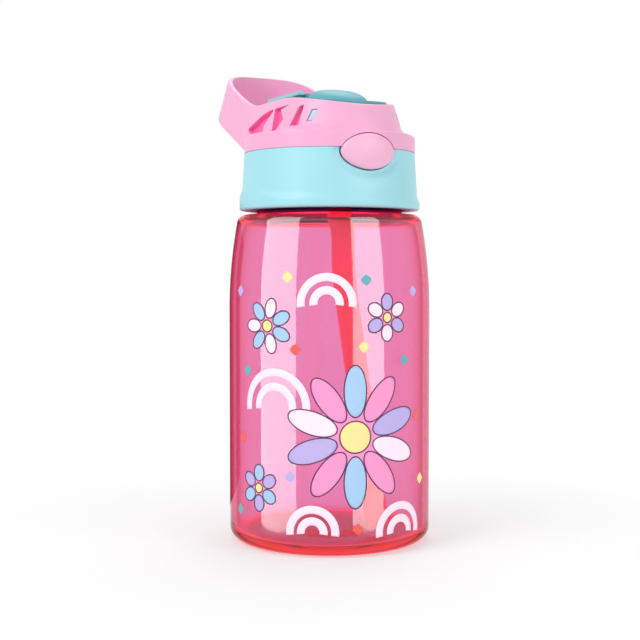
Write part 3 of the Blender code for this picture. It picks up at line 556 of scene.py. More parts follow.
# %% Bottle
body_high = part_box("bottle_body")[1]
BODY_RADIUS = body_high.y
NECK_TOP = body_high.z
BODY_WALL = 0.0022
BASE_CORNER = 0.005
FLOOR = 0.0032
FLOOR_BOSS = (0.012, 0.0012)
BARREL_HEIGHT = 0.085
SHOULDER_RADIUS = 0.0342
SHOULDER_HEIGHT = 0.1196
SHOULDER_FILLET = 0.0034
NECK_RADIUS = 0.0266
FILLET_START = SHOULDER_HEIGHT - SHOULDER_FILLET


def body_radius(height):
    """Outside of the bottle at a height on its barrel."""
    share = max(height - BARREL_HEIGHT, 0) / (FILLET_START - BARREL_HEIGHT)
    return BODY_RADIUS - (BODY_RADIUS - SHOULDER_RADIUS) * share ** 2


def bottle_profile():
    flat = BODY_RADIUS - BASE_CORNER
    heights = [BARREL_HEIGHT + (FILLET_START - BARREL_HEIGHT) * i / 16 for i in range(17)]
    profile = [(0, 0), (0.7 * flat, 0)] + arc((flat, BASE_CORNER), BASE_CORNER, -90, 0, 12)
    profile += [(body_radius(height), height) for height in heights]
    profile += arc((SHOULDER_RADIUS - SHOULDER_FILLET, FILLET_START), SHOULDER_FILLET, 0, 90, 9)[1:]
    root = 0.4 * SHOULDER_FILLET
    profile += arc((NECK_RADIUS + root, SHOULDER_HEIGHT + root), root, 270, 180, 5)
    lip = BODY_WALL / 3
    profile += arc((NECK_RADIUS - lip, NECK_TOP - lip), lip, 0, 90, 4)
    profile += arc((NECK_RADIUS - BODY_WALL + lip, NECK_TOP - lip), lip, 90, 180, 4)
    inside_top = SHOULDER_HEIGHT - BODY_WALL
    fillet = SHOULDER_FILLET - BODY_WALL / 2
    profile += [(NECK_RADIUS - BODY_WALL, inside_top + lip), (NECK_RADIUS - BODY_WALL + lip, inside_top)]
    profile += arc((SHOULDER_RADIUS - BODY_WALL - fillet, inside_top - fillet), fillet, 90, 0, 6)
    profile += [(body_radius(height) - BODY_WALL, height) for height in heights[-2::-1]]
    corner = 0.8 * BASE_CORNER
    profile += arc((BODY_RADIUS - BODY_WALL - corner, FLOOR + corner), corner, 0, -90, 8)
    boss_radius, boss_height = FLOOR_BOSS
    boss_top = FLOOR + boss_height
    profile += [(boss_radius + boss_height, FLOOR), (boss_radius, boss_top), (0, boss_top)]
    return profile


bottle = turned("bottle_clear", bottle_profile(), clear_pink, steps=160)
dress(bottle, "bottle", "clear_pink", "bottle_body")

# %% [markdown]
# A screw neck carries a raised thread. It is one ridge that climbs round the neck and fades out at both
# ends, so that the collar finds it. A helix with a small four-sided section gives it, and it shows when the
# lid is off.

# %% Neck thread
THREAD_HEIGHT = 0.00045
THREAD_PITCH = 0.0040
THREAD_TURNS = 1.8
THREAD_START = 0.1262

count = 150
rows = []
for i in range(count + 1):
    share = i / count
    turn = math.tau * THREAD_TURNS * share
    fade = min(share, 1 - share, 0.06) / 0.06
    middle = THREAD_START + THREAD_PITCH * THREAD_TURNS * share
    root = NECK_RADIUS - 0.0002
    crest = NECK_RADIUS + max(THREAD_HEIGHT * fade, 0.00002)
    section = [(root, -0.0009), (crest, -0.0004), (crest, 0.0004), (root, 0.0009)]
    rows.append([(r * math.cos(turn), r * math.sin(turn), middle + z) for r, z in section])
thread = skin("neck_thread", rows, clear_pink)
dress(thread, "bottle", "clear_pink")

# %% [markdown]
# The straw is a plain extruded tube, pushed on a stub under the lid and leaning to one side of the floor.
# Its path is a smooth curve through a few points, and the tube keeps its bore.

# %% Straw
STRAW_RADIUS = 0.0043
STRAW_BORE = 0.0033
STRAW_BEND = Vector((0.0054, 0.0026, 0.113))
STRAW_MIDDLE = Vector((0.006, 0.0031, 0.096))
STRAW_FOOT = Vector((0.015, 0.012, 0.006))
SOCKET_X = 0.003
SOCKET_HOLE = 0.0046
straw_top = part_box("straw")[1].z
straw_head = Vector((SOCKET_X, 0, straw_top))
straw_neck = Vector((SOCKET_X, 0, straw_top - 0.0075))
route = [straw_head, (straw_head + straw_neck) / 2, straw_neck, STRAW_BEND, STRAW_MIDDLE]
route += [STRAW_MIDDLE.lerp(STRAW_FOOT, 0.5), STRAW_FOOT]
straw_path = smooth_points(route, 8)
outer = tube_rows(straw_path, STRAW_RADIUS, 40)
inner = tube_rows(straw_path, STRAW_BORE, 40)
straw = skin("straw_tube", outer + inner[::-1], straw_rose, closed=True)
dress(straw, "lid", "straw_rose", "straw")

# %% [markdown]
# The collar is the light blue screw ring. It widens a little downwards and ends in a lip, which rises in a
# soft wave on both sides and is a little taller round the back than in front. The solid's box gives its
# seam, its lower edge and its reach, and the neck gives its bore. The wave and the button have sizes of
# their own.

# %% Collar sizes
collar_low, collar_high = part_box("collar")
SEAM = collar_high.z
COLLAR_BOTTOM = collar_low.z
LIP_RADIUS = collar_high.y
COLLAR_BORE = NECK_RADIUS + 0.0008
COLLAR_RADIUS = COLLAR_BORE + 0.004
DECK_BOTTOM = SEAM - 0.0026
LIP_HEIGHT = 0.0034
LIP_CREST = 0.0046
LIP_BACK = 0.0016
CREST_RISES = (56, 88)
CREST_FALLS = (90, 118)
BUTTON_MIDDLE = SEAM - 0.0014
BUTTON_HALF = (0.0104, 0.0063)
BUTTON_DEPTH = 0.0013
BUTTON_CROWN = 0.0016
BUTTON_TRAVEL = 0.0015
DISH_WIDTH = 0.003
print("collar from", round(COLLAR_BOTTOM, 4), "to", round(SEAM, 4))

# %% [markdown]
# Across the front a shallow dish leads a thumb to the button, which sits in a well. Both are cut with ovals
# that are wrapped round the ring, and the button itself is later made of the same ovals.

# %% Button ovals
def button_ring(grow, level, scale=1.0, steps=72):
    """The button's oval wrapped round the collar, at X = level on the middle."""
    ring = []
    for i in range(steps):
        turn = math.tau * i / steps
        across = math.cos(turn)
        y = scale * (BUTTON_HALF[0] + grow) * math.copysign(abs(across) ** 1.1, across)
        z = scale * (BUTTON_HALF[1] + grow) * math.sin(turn)
        wrap = COLLAR_RADIUS - math.sqrt(COLLAR_RADIUS ** 2 - y ** 2)
        ring.append((level - wrap, y, BUTTON_MIDDLE + z))
    return ring


def oval_tool(name, sections):
    """A cutter from wrapped ovals: (grow, level) pairs from the inside out."""
    rows = [[(sections[0][1], 0, BUTTON_MIDDLE)]]
    rows += [button_ring(grow, level) for grow, level in sections]
    rows.append([(sections[-1][1], 0, BUTTON_MIDDLE)])
    return skin(name, rows)


print("button oval has", len(button_ring(0, 0)), "points")

# %% [markdown]
# The ring is a turned profile whose lip takes an extra height by its angle. Its deck has a hole for the
# mouthpiece's root and one for the air valve.

# %% Collar
def lip_wave(turn):
    away = abs(math.degrees(math.remainder(turn, math.tau)))
    up, down = [eased((away - start) / (end - start)) for start, end in (CREST_RISES, CREST_FALLS)]
    return LIP_CREST * up - (LIP_CREST - LIP_BACK) * down


def upright_hole(name, x, y, radius, low, high):
    profile = [(0, high), (radius, high), (radius, low), (0, low)]
    return turned(name, profile, steps=40, place=(x, y))


def collar_profile():
    """Outside from the top edge down to the lip, then the bore. The lip's upper points ride on the wave."""
    lip_top = COLLAR_BOTTOM + LIP_HEIGHT
    waist = COLLAR_RADIUS + 0.0010
    top_edge = 0.0003
    profile = [(0, SEAM)]
    profile += arc((COLLAR_RADIUS - top_edge, SEAM - top_edge), top_edge, 90, 0, 4)
    first_wave = len(profile)
    profile += [(waist - 0.0002, lip_top + 0.0022), (waist, lip_top + 0.0013)]
    profile += [(waist + 0.0002, lip_top + 0.0007), (waist + 0.0004, lip_top + 0.0002)]
    profile += [(LIP_RADIUS - 0.0002, lip_top - 0.0003), (LIP_RADIUS, lip_top - 0.0009)]
    rise = {index: lip_wave for index in range(first_wave, len(profile))}
    edge = 0.0009
    profile += arc((LIP_RADIUS - edge, COLLAR_BOTTOM + edge), edge, 0, -90, 5)
    profile += [(COLLAR_BORE + edge, COLLAR_BOTTOM), (COLLAR_BORE, COLLAR_BOTTOM + edge)]
    profile += [(COLLAR_BORE, DECK_BOTTOM), (0, DECK_BOTTOM)]
    return profile, rise


profile, rise = collar_profile()
collar = turned("collar_ring", profile, collar_blue, steps=144, rise=rise)
well_floor = COLLAR_RADIUS - BUTTON_DEPTH - BUTTON_TRAVEL - RUNNING_GAP
outside = COLLAR_RADIUS + 3 * BUTTON_CROWN
dish_floor = COLLAR_RADIUS - 0.8 * BUTTON_DEPTH
dish = [(0.2 * DISH_WIDTH, dish_floor), (0.5 * DISH_WIDTH, dish_floor + 0.0001)]
dish += [(0.75 * DISH_WIDTH, dish_floor + 0.0006), (DISH_WIDTH, COLLAR_RADIUS)]
dish += [(2 * DISH_WIDTH, COLLAR_RADIUS + BUTTON_CROWN)]
cut(
    collar,
    oval_tool("well", [(RUNNING_GAP, well_floor), (RUNNING_GAP, outside)]),
    oval_tool("dish", dish),
    upright_hole("socket_hole", SOCKET_X, 0, SOCKET_HOLE, DECK_BOTTOM - 0.004, SEAM + 0.004),
    upright_hole("valve_hole", -0.014, 0.009, 0.0023, DECK_BOTTOM - 0.004, SEAM + 0.004),
)
soften(collar, 0.00025)
dress(collar, "lid", "collar_blue", "collar")

# %% [markdown]
# The pink shell is the part that takes the most skill. A low ring stands on the collar. From its ledge a
# leaning wall runs round the front and then straight back out of the ring, sweeping up into the carrying
# loop. Its rim and its foot are heights that depend on how far back they are.

# %% Shell sizes
FRONT_CENTRE = 0.0076
LOOP_CENTRE = -0.046
SHELL_FOOT = COLLAR_RADIUS - FRONT_CENTRE
SHELL_LEAN = 0.004
SHELL_RIM = SHELL_FOOT - SHELL_LEAN
SHELL_WALL = 0.002
SHELL_EDGE = 0.0006
DECK_TOP = SEAM + CLEARANCE
LEDGE = DECK_TOP + 0.0058
LEDGE_THICKNESS = 0.002
RIM_TOP = LEDGE + 0.0132
RIM_FALL = 0.0039
RIM_FRONT = RIM_TOP - RIM_FALL
FALL_START = -0.005
SWEEP_START = -0.020
SWEEP_END = -0.070
LOOP_LIFT = 0.018
LOOP_RISE = 0.5
LEAVES_RING = -math.sqrt(COLLAR_RADIUS ** 2 - SHELL_FOOT ** 2)


def rim_height(x):
    """The rim falls to the front, runs level and sweeps up along the loop."""
    fall = max((x - FALL_START) / (FRONT_CENTRE + SHELL_RIM - FALL_START), 0) ** 2
    return RIM_TOP - RIM_FALL * fall + LOOP_LIFT * eased((SWEEP_START - x) / (SWEEP_START - SWEEP_END))


def foot_height(x):
    if x < LEAVES_RING:
        return DECK_TOP + LOOP_RISE * (LEAVES_RING - x)
    return DECK_TOP + (LEDGE - LEDGE_THICKNESS - DECK_TOP) * eased((x - LEAVES_RING) / (SHELL_FOOT / 3))


print("rim at the front", round(rim_height(FRONT_CENTRE + SHELL_RIM), 4), "and over the loop",
      round(rim_height(LOOP_CENTRE - SHELL_RIM), 4))

# %% [markdown]
# The wall is a skin over stations that go round a long rounded outline; each station knows its foot, its
# rim and its lean. The edges are rounded in the section, by four points each, because a bevel tears easily
# on a wall with cuts.

# %% Shell wall
def shell_stations(side_steps=28, arc_steps=44):
    stations = [(FRONT_CENTRE, -90 + 180 * i / arc_steps) for i in range(arc_steps)]
    length = LOOP_CENTRE - FRONT_CENTRE
    stations += [(FRONT_CENTRE + length * i / side_steps, 90) for i in range(side_steps)]
    stations += [(LOOP_CENTRE, 90 + 180 * i / arc_steps) for i in range(arc_steps)]
    stations += [(LOOP_CENTRE - length * i / side_steps, 270) for i in range(side_steps)]
    return [(x, Vector((math.cos(math.radians(t)), math.sin(math.radians(t)), 0))) for x, t in stations]


def wall_section(height):
    """Corners of the wall as (inset, share of the height), with rounded edges."""
    edge = SHELL_EDGE
    lower = [(edge * (1 - math.sin(a)), edge * (1 - math.cos(a)) / height) for a in (0, 0.5, 1.07, 1.57)]
    upper = [(inset, 1 - share) for inset, share in reversed(lower)]
    outer_side = lower + upper
    return outer_side + [(SHELL_WALL - inset, share) for inset, share in reversed(outer_side)]


def shell_wall():
    rows = []
    for centre, normal in shell_stations():
        foot = Vector((centre, 0, 0)) + SHELL_FOOT * normal
        rim = Vector((centre, 0, 0)) + SHELL_RIM * normal
        low, high = foot_height(foot.x), rim_height(rim.x)
        row = []
        for inset, share in wall_section(high - low):
            point = foot.lerp(rim, share) - inset * normal
            point.z = low + (high - low) * share
            row.append(point)
        rows.append(row)
    return skin("shell_wall", rows, closed=True)


print("shell stations:", len(shell_stations()))

# %% [markdown]
# A soft hollow leads from the wall to the ledge, as a mould maker would leave it. It is a skin over the
# same stations and fades out where the ledge is narrow.

# %% Ledge fillet
HOLLOW = [(-0.0012, -0.5), (-0.0003, 1), (0.0001, 0.93), (0.0004, 0.6), (0.0009, 0.28), (0.0016, 0.08)]
HOLLOW += [(0.0024, -0.02), (0.0024, -0.5)]


def ledge_fillet():
    """A soft hollow between the wall and the ledge. It fades out where the ledge is narrow."""
    rows = []
    for centre, normal in shell_stations():
        foot = Vector((centre, 0, 0)) + SHELL_FOOT * normal
        if foot.x < LEAVES_RING + 0.003 or (rows and normal.y == 1 and foot.x > FRONT_CENTRE):
            continue
        low, high = foot_height(foot.x), rim_height(foot.x - SHELL_LEAN * normal.x)
        row = []
        for height, reach in HOLLOW:
            lean = SHELL_FOOT - SHELL_LEAN * (LEDGE + height - low) / (high - low)
            wall = Vector((centre, 0, 0)) + lean * normal
            room = min(max(COLLAR_RADIUS - 0.0012 - wall.length, 0.00005), 0.0019)
            room *= eased((foot.x - LEAVES_RING - 0.003) / 0.012) + 0.03
            point = wall + normal * (reach * room if reach > 0 else reach * 0.001)
            point.z = LEDGE + height
            row.append(point)
        rows.append((math.atan2(normal.y, normal.x), -foot.x * (1 if normal.y >= 0 else -1), row))
    rows.sort(key=lambda item: (round(item[0], 6), item[1]))
    return skin("fillet", [row for turn, along, row in rows])


print("fillet section has", len(HOLLOW), "points")

# %% [markdown]
# Three windows and a thin slot are cut straight through both sides of the wall: a leaf, an arrow and a
# slanted slot. The outlines of the three are shares of a width and of the windows' height. A pocket stands
# behind the leaf and the arrow.

# %% Windows
SILL = LEDGE + 0.0014
WINDOW_HEIGHT = 0.0084
THIN_SLOT_X = 0.0203
THIN_SLOT_WIDTH = 0.0018


def thin_slot(inset):
    """Outline of the front slot, which the frame's clip fills."""
    low, high = SILL + 0.19 * WINDOW_HEIGHT + inset, SILL + 0.71 * WINDOW_HEIGHT - inset
    half = THIN_SLOT_WIDTH / 2 - inset
    lean = 0.15 * THIN_SLOT_WIDTH
    rear, front = THIN_SLOT_X - half, THIN_SLOT_X + half
    return [(rear - lean, low), (front - lean, low), (front + lean, high), (rear + lean, high)]


def window_tools():
    leaf = [(0, 0.38), (0.3, 0.69), (0.69, 0.93), (1, 0.98), (0.85, 0.62), (0.72, 0.33)]
    leaf += [(0.75, 0.1), (0.49, 0.01), (0.16, 0.1)]
    leaf = smooth_points(leaf, 5, closed=True)
    arrow = [(0, 1), (1.23, 1.02), (0.57, 0.88), (1, 0.43), (0.54, -0.02), (0.19, -0.02)]
    slot = [(-0.55, 0.07), (0.5, 0.05), (0.5, 0.93), (0, 0.88)]
    shapes = {
        "leaf": (leaf, -0.0245, 0.0203),
        "arrow": (arrow, -0.003, 0.0096),
        "slot": (slot, 0.0146, 0.004),
    }
    tools = [prism("thin_slot", thin_slot(0), "Y", -0.05, 0.05)]
    for name, (outline, start, width) in shapes.items():
        placed = [(start + width * share, SILL + WINDOW_HEIGHT * height) for share, height in outline]
        tools.append(prism(name, placed, "Y", -0.05, 0.05))
    return tools


POCKET_REAR, POCKET_FRONT = -0.0275, 0.0105
POCKET_WALL = 0.0012
POCKET_FACE, POCKET_EDGE = 0.0158, 0.0122


def window_pocket(side):
    """A back wall with an inner shelf and two ends stand behind the windows. Light falls in from above."""
    top = RIM_TOP - 0.003
    shelf = top - POCKET_WALL
    inside = POCKET_FACE - POCKET_WALL
    outline = [(inside, LEDGE), (SHELL_FOOT - 0.75 * SHELL_WALL, LEDGE), (SHELL_RIM - 0.25 * SHELL_WALL, top)]
    outline += [(POCKET_EDGE, top), (POCKET_EDGE, shelf), (inside, shelf)]
    pocket = prism("pocket", [(side * y, z) for y, z in outline], "X", POCKET_REAR, POCKET_FRONT)
    near, far = sorted((side * POCKET_FACE, side * 0.05))
    low = (POCKET_REAR + POCKET_WALL, near, LEDGE - POCKET_WALL)
    return cut(pocket, block("space", low, (POCKET_FRONT - POCKET_WALL, far, RIM_TOP)))


print("windows reach from", round(SILL, 4), "to", round(SILL + WINDOW_HEIGHT, 4))

# %% [markdown]
# The ring is turned, the wall with its fillet and windows is joined to it, and the button's well is cut
# last. The wall's edges are rounded already, so the shell is only welded.

# %% Handle shell
RING_INSIDE = COLLAR_RADIUS - 0.0029
ledge_bottom = LEDGE - LEDGE_THICKNESS
flange = 0.6 * SHELL_FOOT
profile = [(flange, LEDGE)] + arc((COLLAR_RADIUS - 0.0008, LEDGE - 0.0008), 0.0008, 90, 0, 5)
skirt = SEAM + 0.00006
profile += [(COLLAR_RADIUS, skirt), (RING_INSIDE, skirt), (RING_INSIDE, ledge_bottom), (flange, ledge_bottom)]
shell = turned("handle_shell_pink", profile, lid_pink, steps=144)
half_wall = SHELL_FOOT - SHELL_WALL / 2
opening = arc((FRONT_CENTRE, 0), half_wall, -90, 90, 40) + arc((LOOP_CENTRE, 0), half_wall, 90, 270, 40)
cut(shell, prism("inside", opening, "Z", ledge_bottom - CLEARANCE, RIM_TOP))
wall = cut(join(shell_wall(), ledge_fillet()), *window_tools())
join(shell, wall, window_pocket(1), window_pocket(-1))
gap = 0.6 * RUNNING_GAP
cut(shell, oval_tool("well", [(gap, RING_INSIDE - BUTTON_TRAVEL), (gap, outside)]))
weld(shell)
shade(shell, 30)
dress(shell, "lid", "lid_pink", "handle_shell")

# %% [markdown]
# Behind the windows the real shell shows a deeper pink, where the inside of the loop lies in shade. A thin
# band of that deeper pink follows the inside of the wall there as painted shade. It is built on the same
# stations as the wall, so each window has its backing at an even depth.

# %% Window backing
BACKING_INSET = 0.0019
BACKING_DEPTH = 0.0008
BACKING_ENDS = (-0.026, 0.0183)


def window_backing(side):
    rows = []
    for centre, normal in shell_stations():
        foot = Vector((centre, 0, 0)) + SHELL_FOOT * normal
        if normal.y < 0.1 or not BACKING_ENDS[0] < foot.x < BACKING_ENDS[1]:
            continue
        low, high = foot_height(foot.x), rim_height(foot.x - SHELL_LEAN * normal.x)
        row = []
        levels = ((LEDGE + 0.0003, 0), (RIM_FRONT + 0.001, 0), (RIM_FRONT + 0.001, 1), (LEDGE + 0.0003, 1))
        for height, behind in levels:
            lean = SHELL_FOOT - SHELL_LEAN * (height - low) / (high - low)
            lean -= BACKING_INSET + BACKING_DEPTH * behind
            point = Vector((centre, 0, height)) + lean * normal
            point.y *= side
            row.append(point)
        rows.append(row)
    return skin(f"window_backing_{'left' if side > 0 else 'right'}", rows, window_shade_pink)


for side in (1, -1):
    dress(window_backing(side), "lid", "lid_pink")

# %% [markdown]
# The button is a soft pink lens set across the seam. It is a stack of ovals that shrink towards the crown,
# each wrapped round the collar, so its edge follows the ring.

# %% Push button
crown = BUTTON_DEPTH + BUTTON_CROWN
back = COLLAR_RADIUS - BUTTON_DEPTH
shape = [(0.96, 0), (0.99, 0.06), (1, 0.14), (1, 0.36)]
shape += [(math.cos(a) ** 0.75, 0.36 + 0.64 * math.sin(a)) for a in (0.25, 0.5, 0.75, 1.0, 1.2, 1.38, 1.5)]
rows = [[(back, 0, BUTTON_MIDDLE)]]
rows += [button_ring(0, back + share * crown, scale) for scale, share in shape]
rows.append([(back + crown, 0, BUTTON_MIDDLE)])
button = skin("push_button_pink", rows, button_pink)
dress(button, "button", "lid_pink", "push_button")

# %% [markdown]
# The teal frame sits on the deck inside the shell: a floor, two cheeks with the hinge's ears, low end
# walls, a flat top flange and the bridge that shows behind the cover. It is joined from plain plates, and
# its edges are rounded at the end.

# %% Frame plates
PIN_X = -0.007
PIN_Z = RIM_TOP + 0.0009
PIN_RADIUS = 0.0012
KNUCKLE_RADIUS = 0.0025
EAR_RADIUS = 0.0026
FRAME_REAR, FRAME_FRONT = -0.0100, 0.0242
FRAME_HALF = 0.0102
FRAME_WALL = 0.0015
FRAME_FLOOR = DECK_TOP + FRAME_WALL
FRAME_TOP = DECK_TOP + 0.0137
FLANGE_START = 0.0165
FRONT_TOP = DECK_TOP + 0.0092
LATCH_BACK = 0.0198
LATCH_STEM_TOP = FRAME_FLOOR + RUNNING_GAP + 0.002
SPRING_SEAT = LATCH_BACK - 0.0063 - 2 * CLEARANCE


def frame_bridge():
    half, notch, corner, rear = 0.0115, FRAME_HALF - FRAME_WALL, 0.0069, -0.036
    side = arc((rear + corner, half - corner), corner, 180, 90, 14)
    side += [(-0.003, half), (-0.003, notch), (PIN_X - KNUCKLE_RADIUS - RUNNING_GAP, notch)]
    outline = side + [(x, -y) for x, y in reversed(side)]
    return prism("bridge", outline, "Z", PIN_Z + 0.0014, PIN_Z + 0.0028)


def clip_reach(x, z):
    """The clip's face lies just inside the shell's outer side."""
    foot = LEDGE - LEDGE_THICKNESS
    outside = SHELL_FOOT - SHELL_LEAN * (z - foot) / (rim_height(x) - foot)
    return math.sqrt(outside ** 2 - (x - FRONT_CENTRE) ** 2) - CLEARANCE


def frame_flange():
    """Flat top between the cheeks and the shell, with a clip that shows in the shell's front slot."""
    share = (FRAME_TOP - LEDGE) / (RIM_FRONT - LEDGE)
    room = SHELL_FOOT - SHELL_LEAN * share - SHELL_WALL - 2 * CLEARANCE
    turn = math.degrees(math.acos((FLANGE_START - FRONT_CENTRE) / room))
    plate = prism("flange", arc((FRONT_CENTRE, 0), room, -turn, turn, 48), "Z", FRAME_TOP - 0.0014, FRAME_TOP)
    inside = FRAME_HALF - FRAME_WALL / 2
    cut(plate, block("middle", (FRAME_REAR, -inside, FRAME_FLOOR), (0.05, inside, PIN_Z)))
    for side in (-1, 1):
        faces = [lambda p: side * clip_reach(*p), lambda p: side * (clip_reach(*p) - 0.005)]
        join(plate, prism("clip", thin_slot(CLEARANCE), "Y", *faces[::side]))
    return plate


def pin_tool(name):
    outline = arc((PIN_X, PIN_Z), PIN_RADIUS + CLEARANCE, 0, 360, 32)[:-1]
    return prism(name, outline, "Y", -0.02, 0.02)


print("hinge pin at", PIN_X, round(PIN_Z, 4))

# %% [markdown]
# The plates are joined, and then the latch's slot, the hole for the mouthpiece's root and the pin's hole
# are cut.

# %% Spout frame
low, high = (FRAME_REAR, -FRAME_HALF, DECK_TOP), (FRAME_FRONT, FRAME_HALF, FRAME_FLOOR)
teal = block("spout_frame_teal", low, high, frame_teal)
cheek = [(FRAME_REAR, DECK_TOP), (FRAME_FRONT, DECK_TOP), (FRAME_FRONT, FRONT_TOP)]
cheek += [(FRAME_FRONT - 0.0024, FRAME_TOP), (PIN_X + 2.4 * EAR_RADIUS, FRAME_TOP)]
cheek += arc((PIN_X, PIN_Z), EAR_RADIUS, -15, 180, 24)
cheeks = [
    prism("cheek", cheek, "Y", *sorted((side * (FRAME_HALF - FRAME_WALL), side * FRAME_HALF)))
    for side in (-1, 1)
]
ends = [
    block("end", (x, -FRAME_HALF, DECK_TOP), (x + FRAME_WALL, FRAME_HALF, FRONT_TOP))
    for x in (FRAME_REAR, FRAME_FRONT - FRAME_WALL)
]
low, high = (SPRING_SEAT - 0.001, -0.0034, DECK_TOP), (SPRING_SEAT, 0.0034, LATCH_STEM_TOP + FRAME_WALL)
seat = block("seat", low, high)
join(teal, *cheeks, *ends, frame_bridge(), seat, frame_flange())
low, high = (FRAME_FRONT - 2 * FRAME_WALL, -0.0038, FRAME_FLOOR), (0.05, 0.0038, LATCH_STEM_TOP + RUNNING_GAP)
socket_hole = upright_hole("socket_hole", SOCKET_X, 0, SOCKET_HOLE, DECK_TOP - 0.004, FRAME_FLOOR + 0.004)
cut(teal, block("slot", low, high), socket_hole, pin_tool("pin_hole"))
soften(teal, 0.0002)
dress(teal, "lid", "cover_teal", "spout_frame")

# %% [markdown]
# The cover is a low dome on a flat plate that fills the shell's opening, hinged on two knuckles. It slopes
# as the rim round it does. The dome is a stack of ovals, one set for the outside and one for the inside, so
# it has a wall and is hollow.

# %% Cover dome
DOME_CENTRE = 0.007
DOME_HALF = (0.0115, 0.011)
DOME_HEIGHT = 0.0053
CROWN_BACK = 0.0014
DOME_WALL = 0.0016
PLATE_RADIUS = SHELL_RIM - SHELL_WALL - 0.0006
PLATE_REAR = -0.001
PLATE_FRONT = FRONT_CENTRE + PLATE_RADIUS
PLATE_THICKNESS = 0.0015
PLATE_SLOPE = (rim_height(PLATE_REAR) - rim_height(PLATE_FRONT)) / (PLATE_FRONT - PLATE_REAR)


def cover_plane(x):
    """Lower side of the plate, a little below the rim."""
    return rim_height(PLATE_FRONT) - 0.0006 + PLATE_SLOPE * (PLATE_FRONT - x)


def dome_rows(shrink, steps=96, levels=18):
    rows = []
    for level in range(levels + 1):
        lean = math.radians(90 * level / levels)
        spread = math.cos(lean) ** 0.7 if level < levels else 0
        row = []
        for i in range(steps if spread else 1):
            turn = math.tau * i / steps
            x = DOME_CENTRE + spread * (DOME_HALF[0] - shrink) * math.cos(turn)
            y = spread * (DOME_HALF[1] - shrink) * math.sin(turn)
            rise = (DOME_HEIGHT - shrink) * math.sin(lean) ** 0.9
            row.append((x - CROWN_BACK * math.sin(lean), y, cover_plane(x) + rise))
        rows.append(row)
    return rows


print("dome has", len(dome_rows(0)), "rings")

# %% [markdown]
# The plate is a prism between two sloping planes, left open under the dome. Two knuckles take the pin, and
# two tongues reach down to the latch. All are joined to the dome before the pin's hole is cut.

# %% Spout cover
def cover_plate():
    corner = 0.2 * PLATE_RADIUS
    side = arc((FRONT_CENTRE, 0), PLATE_RADIUS, 0, 90, 40)
    side += arc((PLATE_REAR + corner, PLATE_RADIUS - corner), corner, 90, 180, 10)
    outline = side + [(x, -y) for x, y in reversed(side[1:])]
    faces = [lambda p: cover_plane(p[0]), lambda p: cover_plane(p[0]) + PLATE_THICKNESS]
    plate = prism("plate", outline, "Z", *faces)
    reach, across = DOME_HALF[0] - DOME_WALL, DOME_HALF[1] - DOME_WALL
    turns = [math.tau * i / 96 for i in range(96)]
    hollow = [(DOME_CENTRE + reach * math.cos(t), across * math.sin(t)) for t in turns]
    low, high = cover_plane(0.05), cover_plane(FRAME_REAR) + PLATE_THICKNESS
    return cut(plate, prism("hollow", hollow, "Z", low, high))


def hinge_and_tongue(side):
    outer = side * (FRAME_HALF - FRAME_WALL - RUNNING_GAP)
    knuckle = arc((PIN_X, PIN_Z), KNUCKLE_RADIUS, 60, 300, 28)
    front = DOME_CENTRE - 0.5 * DOME_HALF[0]
    knuckle += [(front, PIN_Z - 0.6 * KNUCKLE_RADIUS), (front, PIN_Z + 0.6 * KNUCKLE_RADIUS)]
    rear = LATCH_BACK + 0.0016 + 0.0008 + CLEARANCE
    middle = side * 0.0065
    low = (rear, middle - 0.0011, RIM_FRONT - 0.0044)
    high = (rear + 0.0014, middle + 0.0011, cover_plane(rear) + PLATE_THICKNESS / 2)
    hinge = prism("knuckle", knuckle, "Y", *sorted((outer, outer - side * 0.0032)))
    return [hinge, block("tongue", low, high)]


cover = skin("spout_cover_teal", dome_rows(0)[::-1] + dome_rows(DOME_WALL), cover_teal)
join(cover, cover_plate(), *hinge_and_tongue(1), *hinge_and_tongue(-1))
cut(cover, pin_tool("pin_hole"))
soften(cover, 0.00018)
dress(cover, "cover", "cover_teal", "spout_cover")

# %% [markdown]
# A soft pad inside the dome closes the nozzle when the cover is shut. It is a small turned disc with round
# edges and a raised ring.

# %% Cover pad
pad_low, pad_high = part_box("cover_pad")
pad_radius = (pad_high.y - pad_low.y) / 2
edge = 0.0004
profile = [(0, pad_high.z)] + arc((pad_radius - edge, pad_high.z - edge), edge, 90, 0, 5)
profile += arc((pad_radius - edge, pad_low.z + edge), edge, 0, -90, 5)
profile += [(0.6 * pad_radius, pad_low.z), (0.52 * pad_radius, pad_low.z + edge), (0, pad_low.z + edge)]
pad = turned("cover_pad_soft", profile, silicone, steps=64, place=((pad_low.x + pad_high.x) / 2, 0))
dress(pad, "cover", "silicone", "cover_pad")

# %% [markdown]
# The hinge turns on a steel pin, and a torsion spring on that pin throws the cover open. A coil is a helix
# with a round section: a path is worked out first, and a tube is laid along it. The coil stays with the
# lid.

# %% Hinge pin and torsion spring
pin_half = FRAME_HALF - CLEARANCE
chamfer = 0.0003
rows = []
ends = [(-pin_half, PIN_RADIUS - chamfer), (chamfer - pin_half, PIN_RADIUS)]
ends += [(-y, radius) for y, radius in reversed(ends)]
for y, radius in ends:
    rows.append([(x, y, z) for x, z in arc((PIN_X, PIN_Z), radius, 0, 360, 40)[:-1]])
pin = skin("hinge_pin_steel", rows, spring_steel)
dress(pin, "lid", "spring_steel", "hinge_pin")


def coil(centre, axis, radius, length, turns, steps=28):
    ahead = Vector(axis)
    side = ahead.orthogonal().normalized()
    other = ahead.cross(side)
    path = []
    for i in range(turns * steps + 1):
        turn = math.tau * i / steps
        along = length * (i / (turns * steps) - 0.5)
        spoke = math.cos(turn) * side + math.sin(turn) * other
        path.append(Vector(centre) + ahead * along + radius * spoke)
    return path


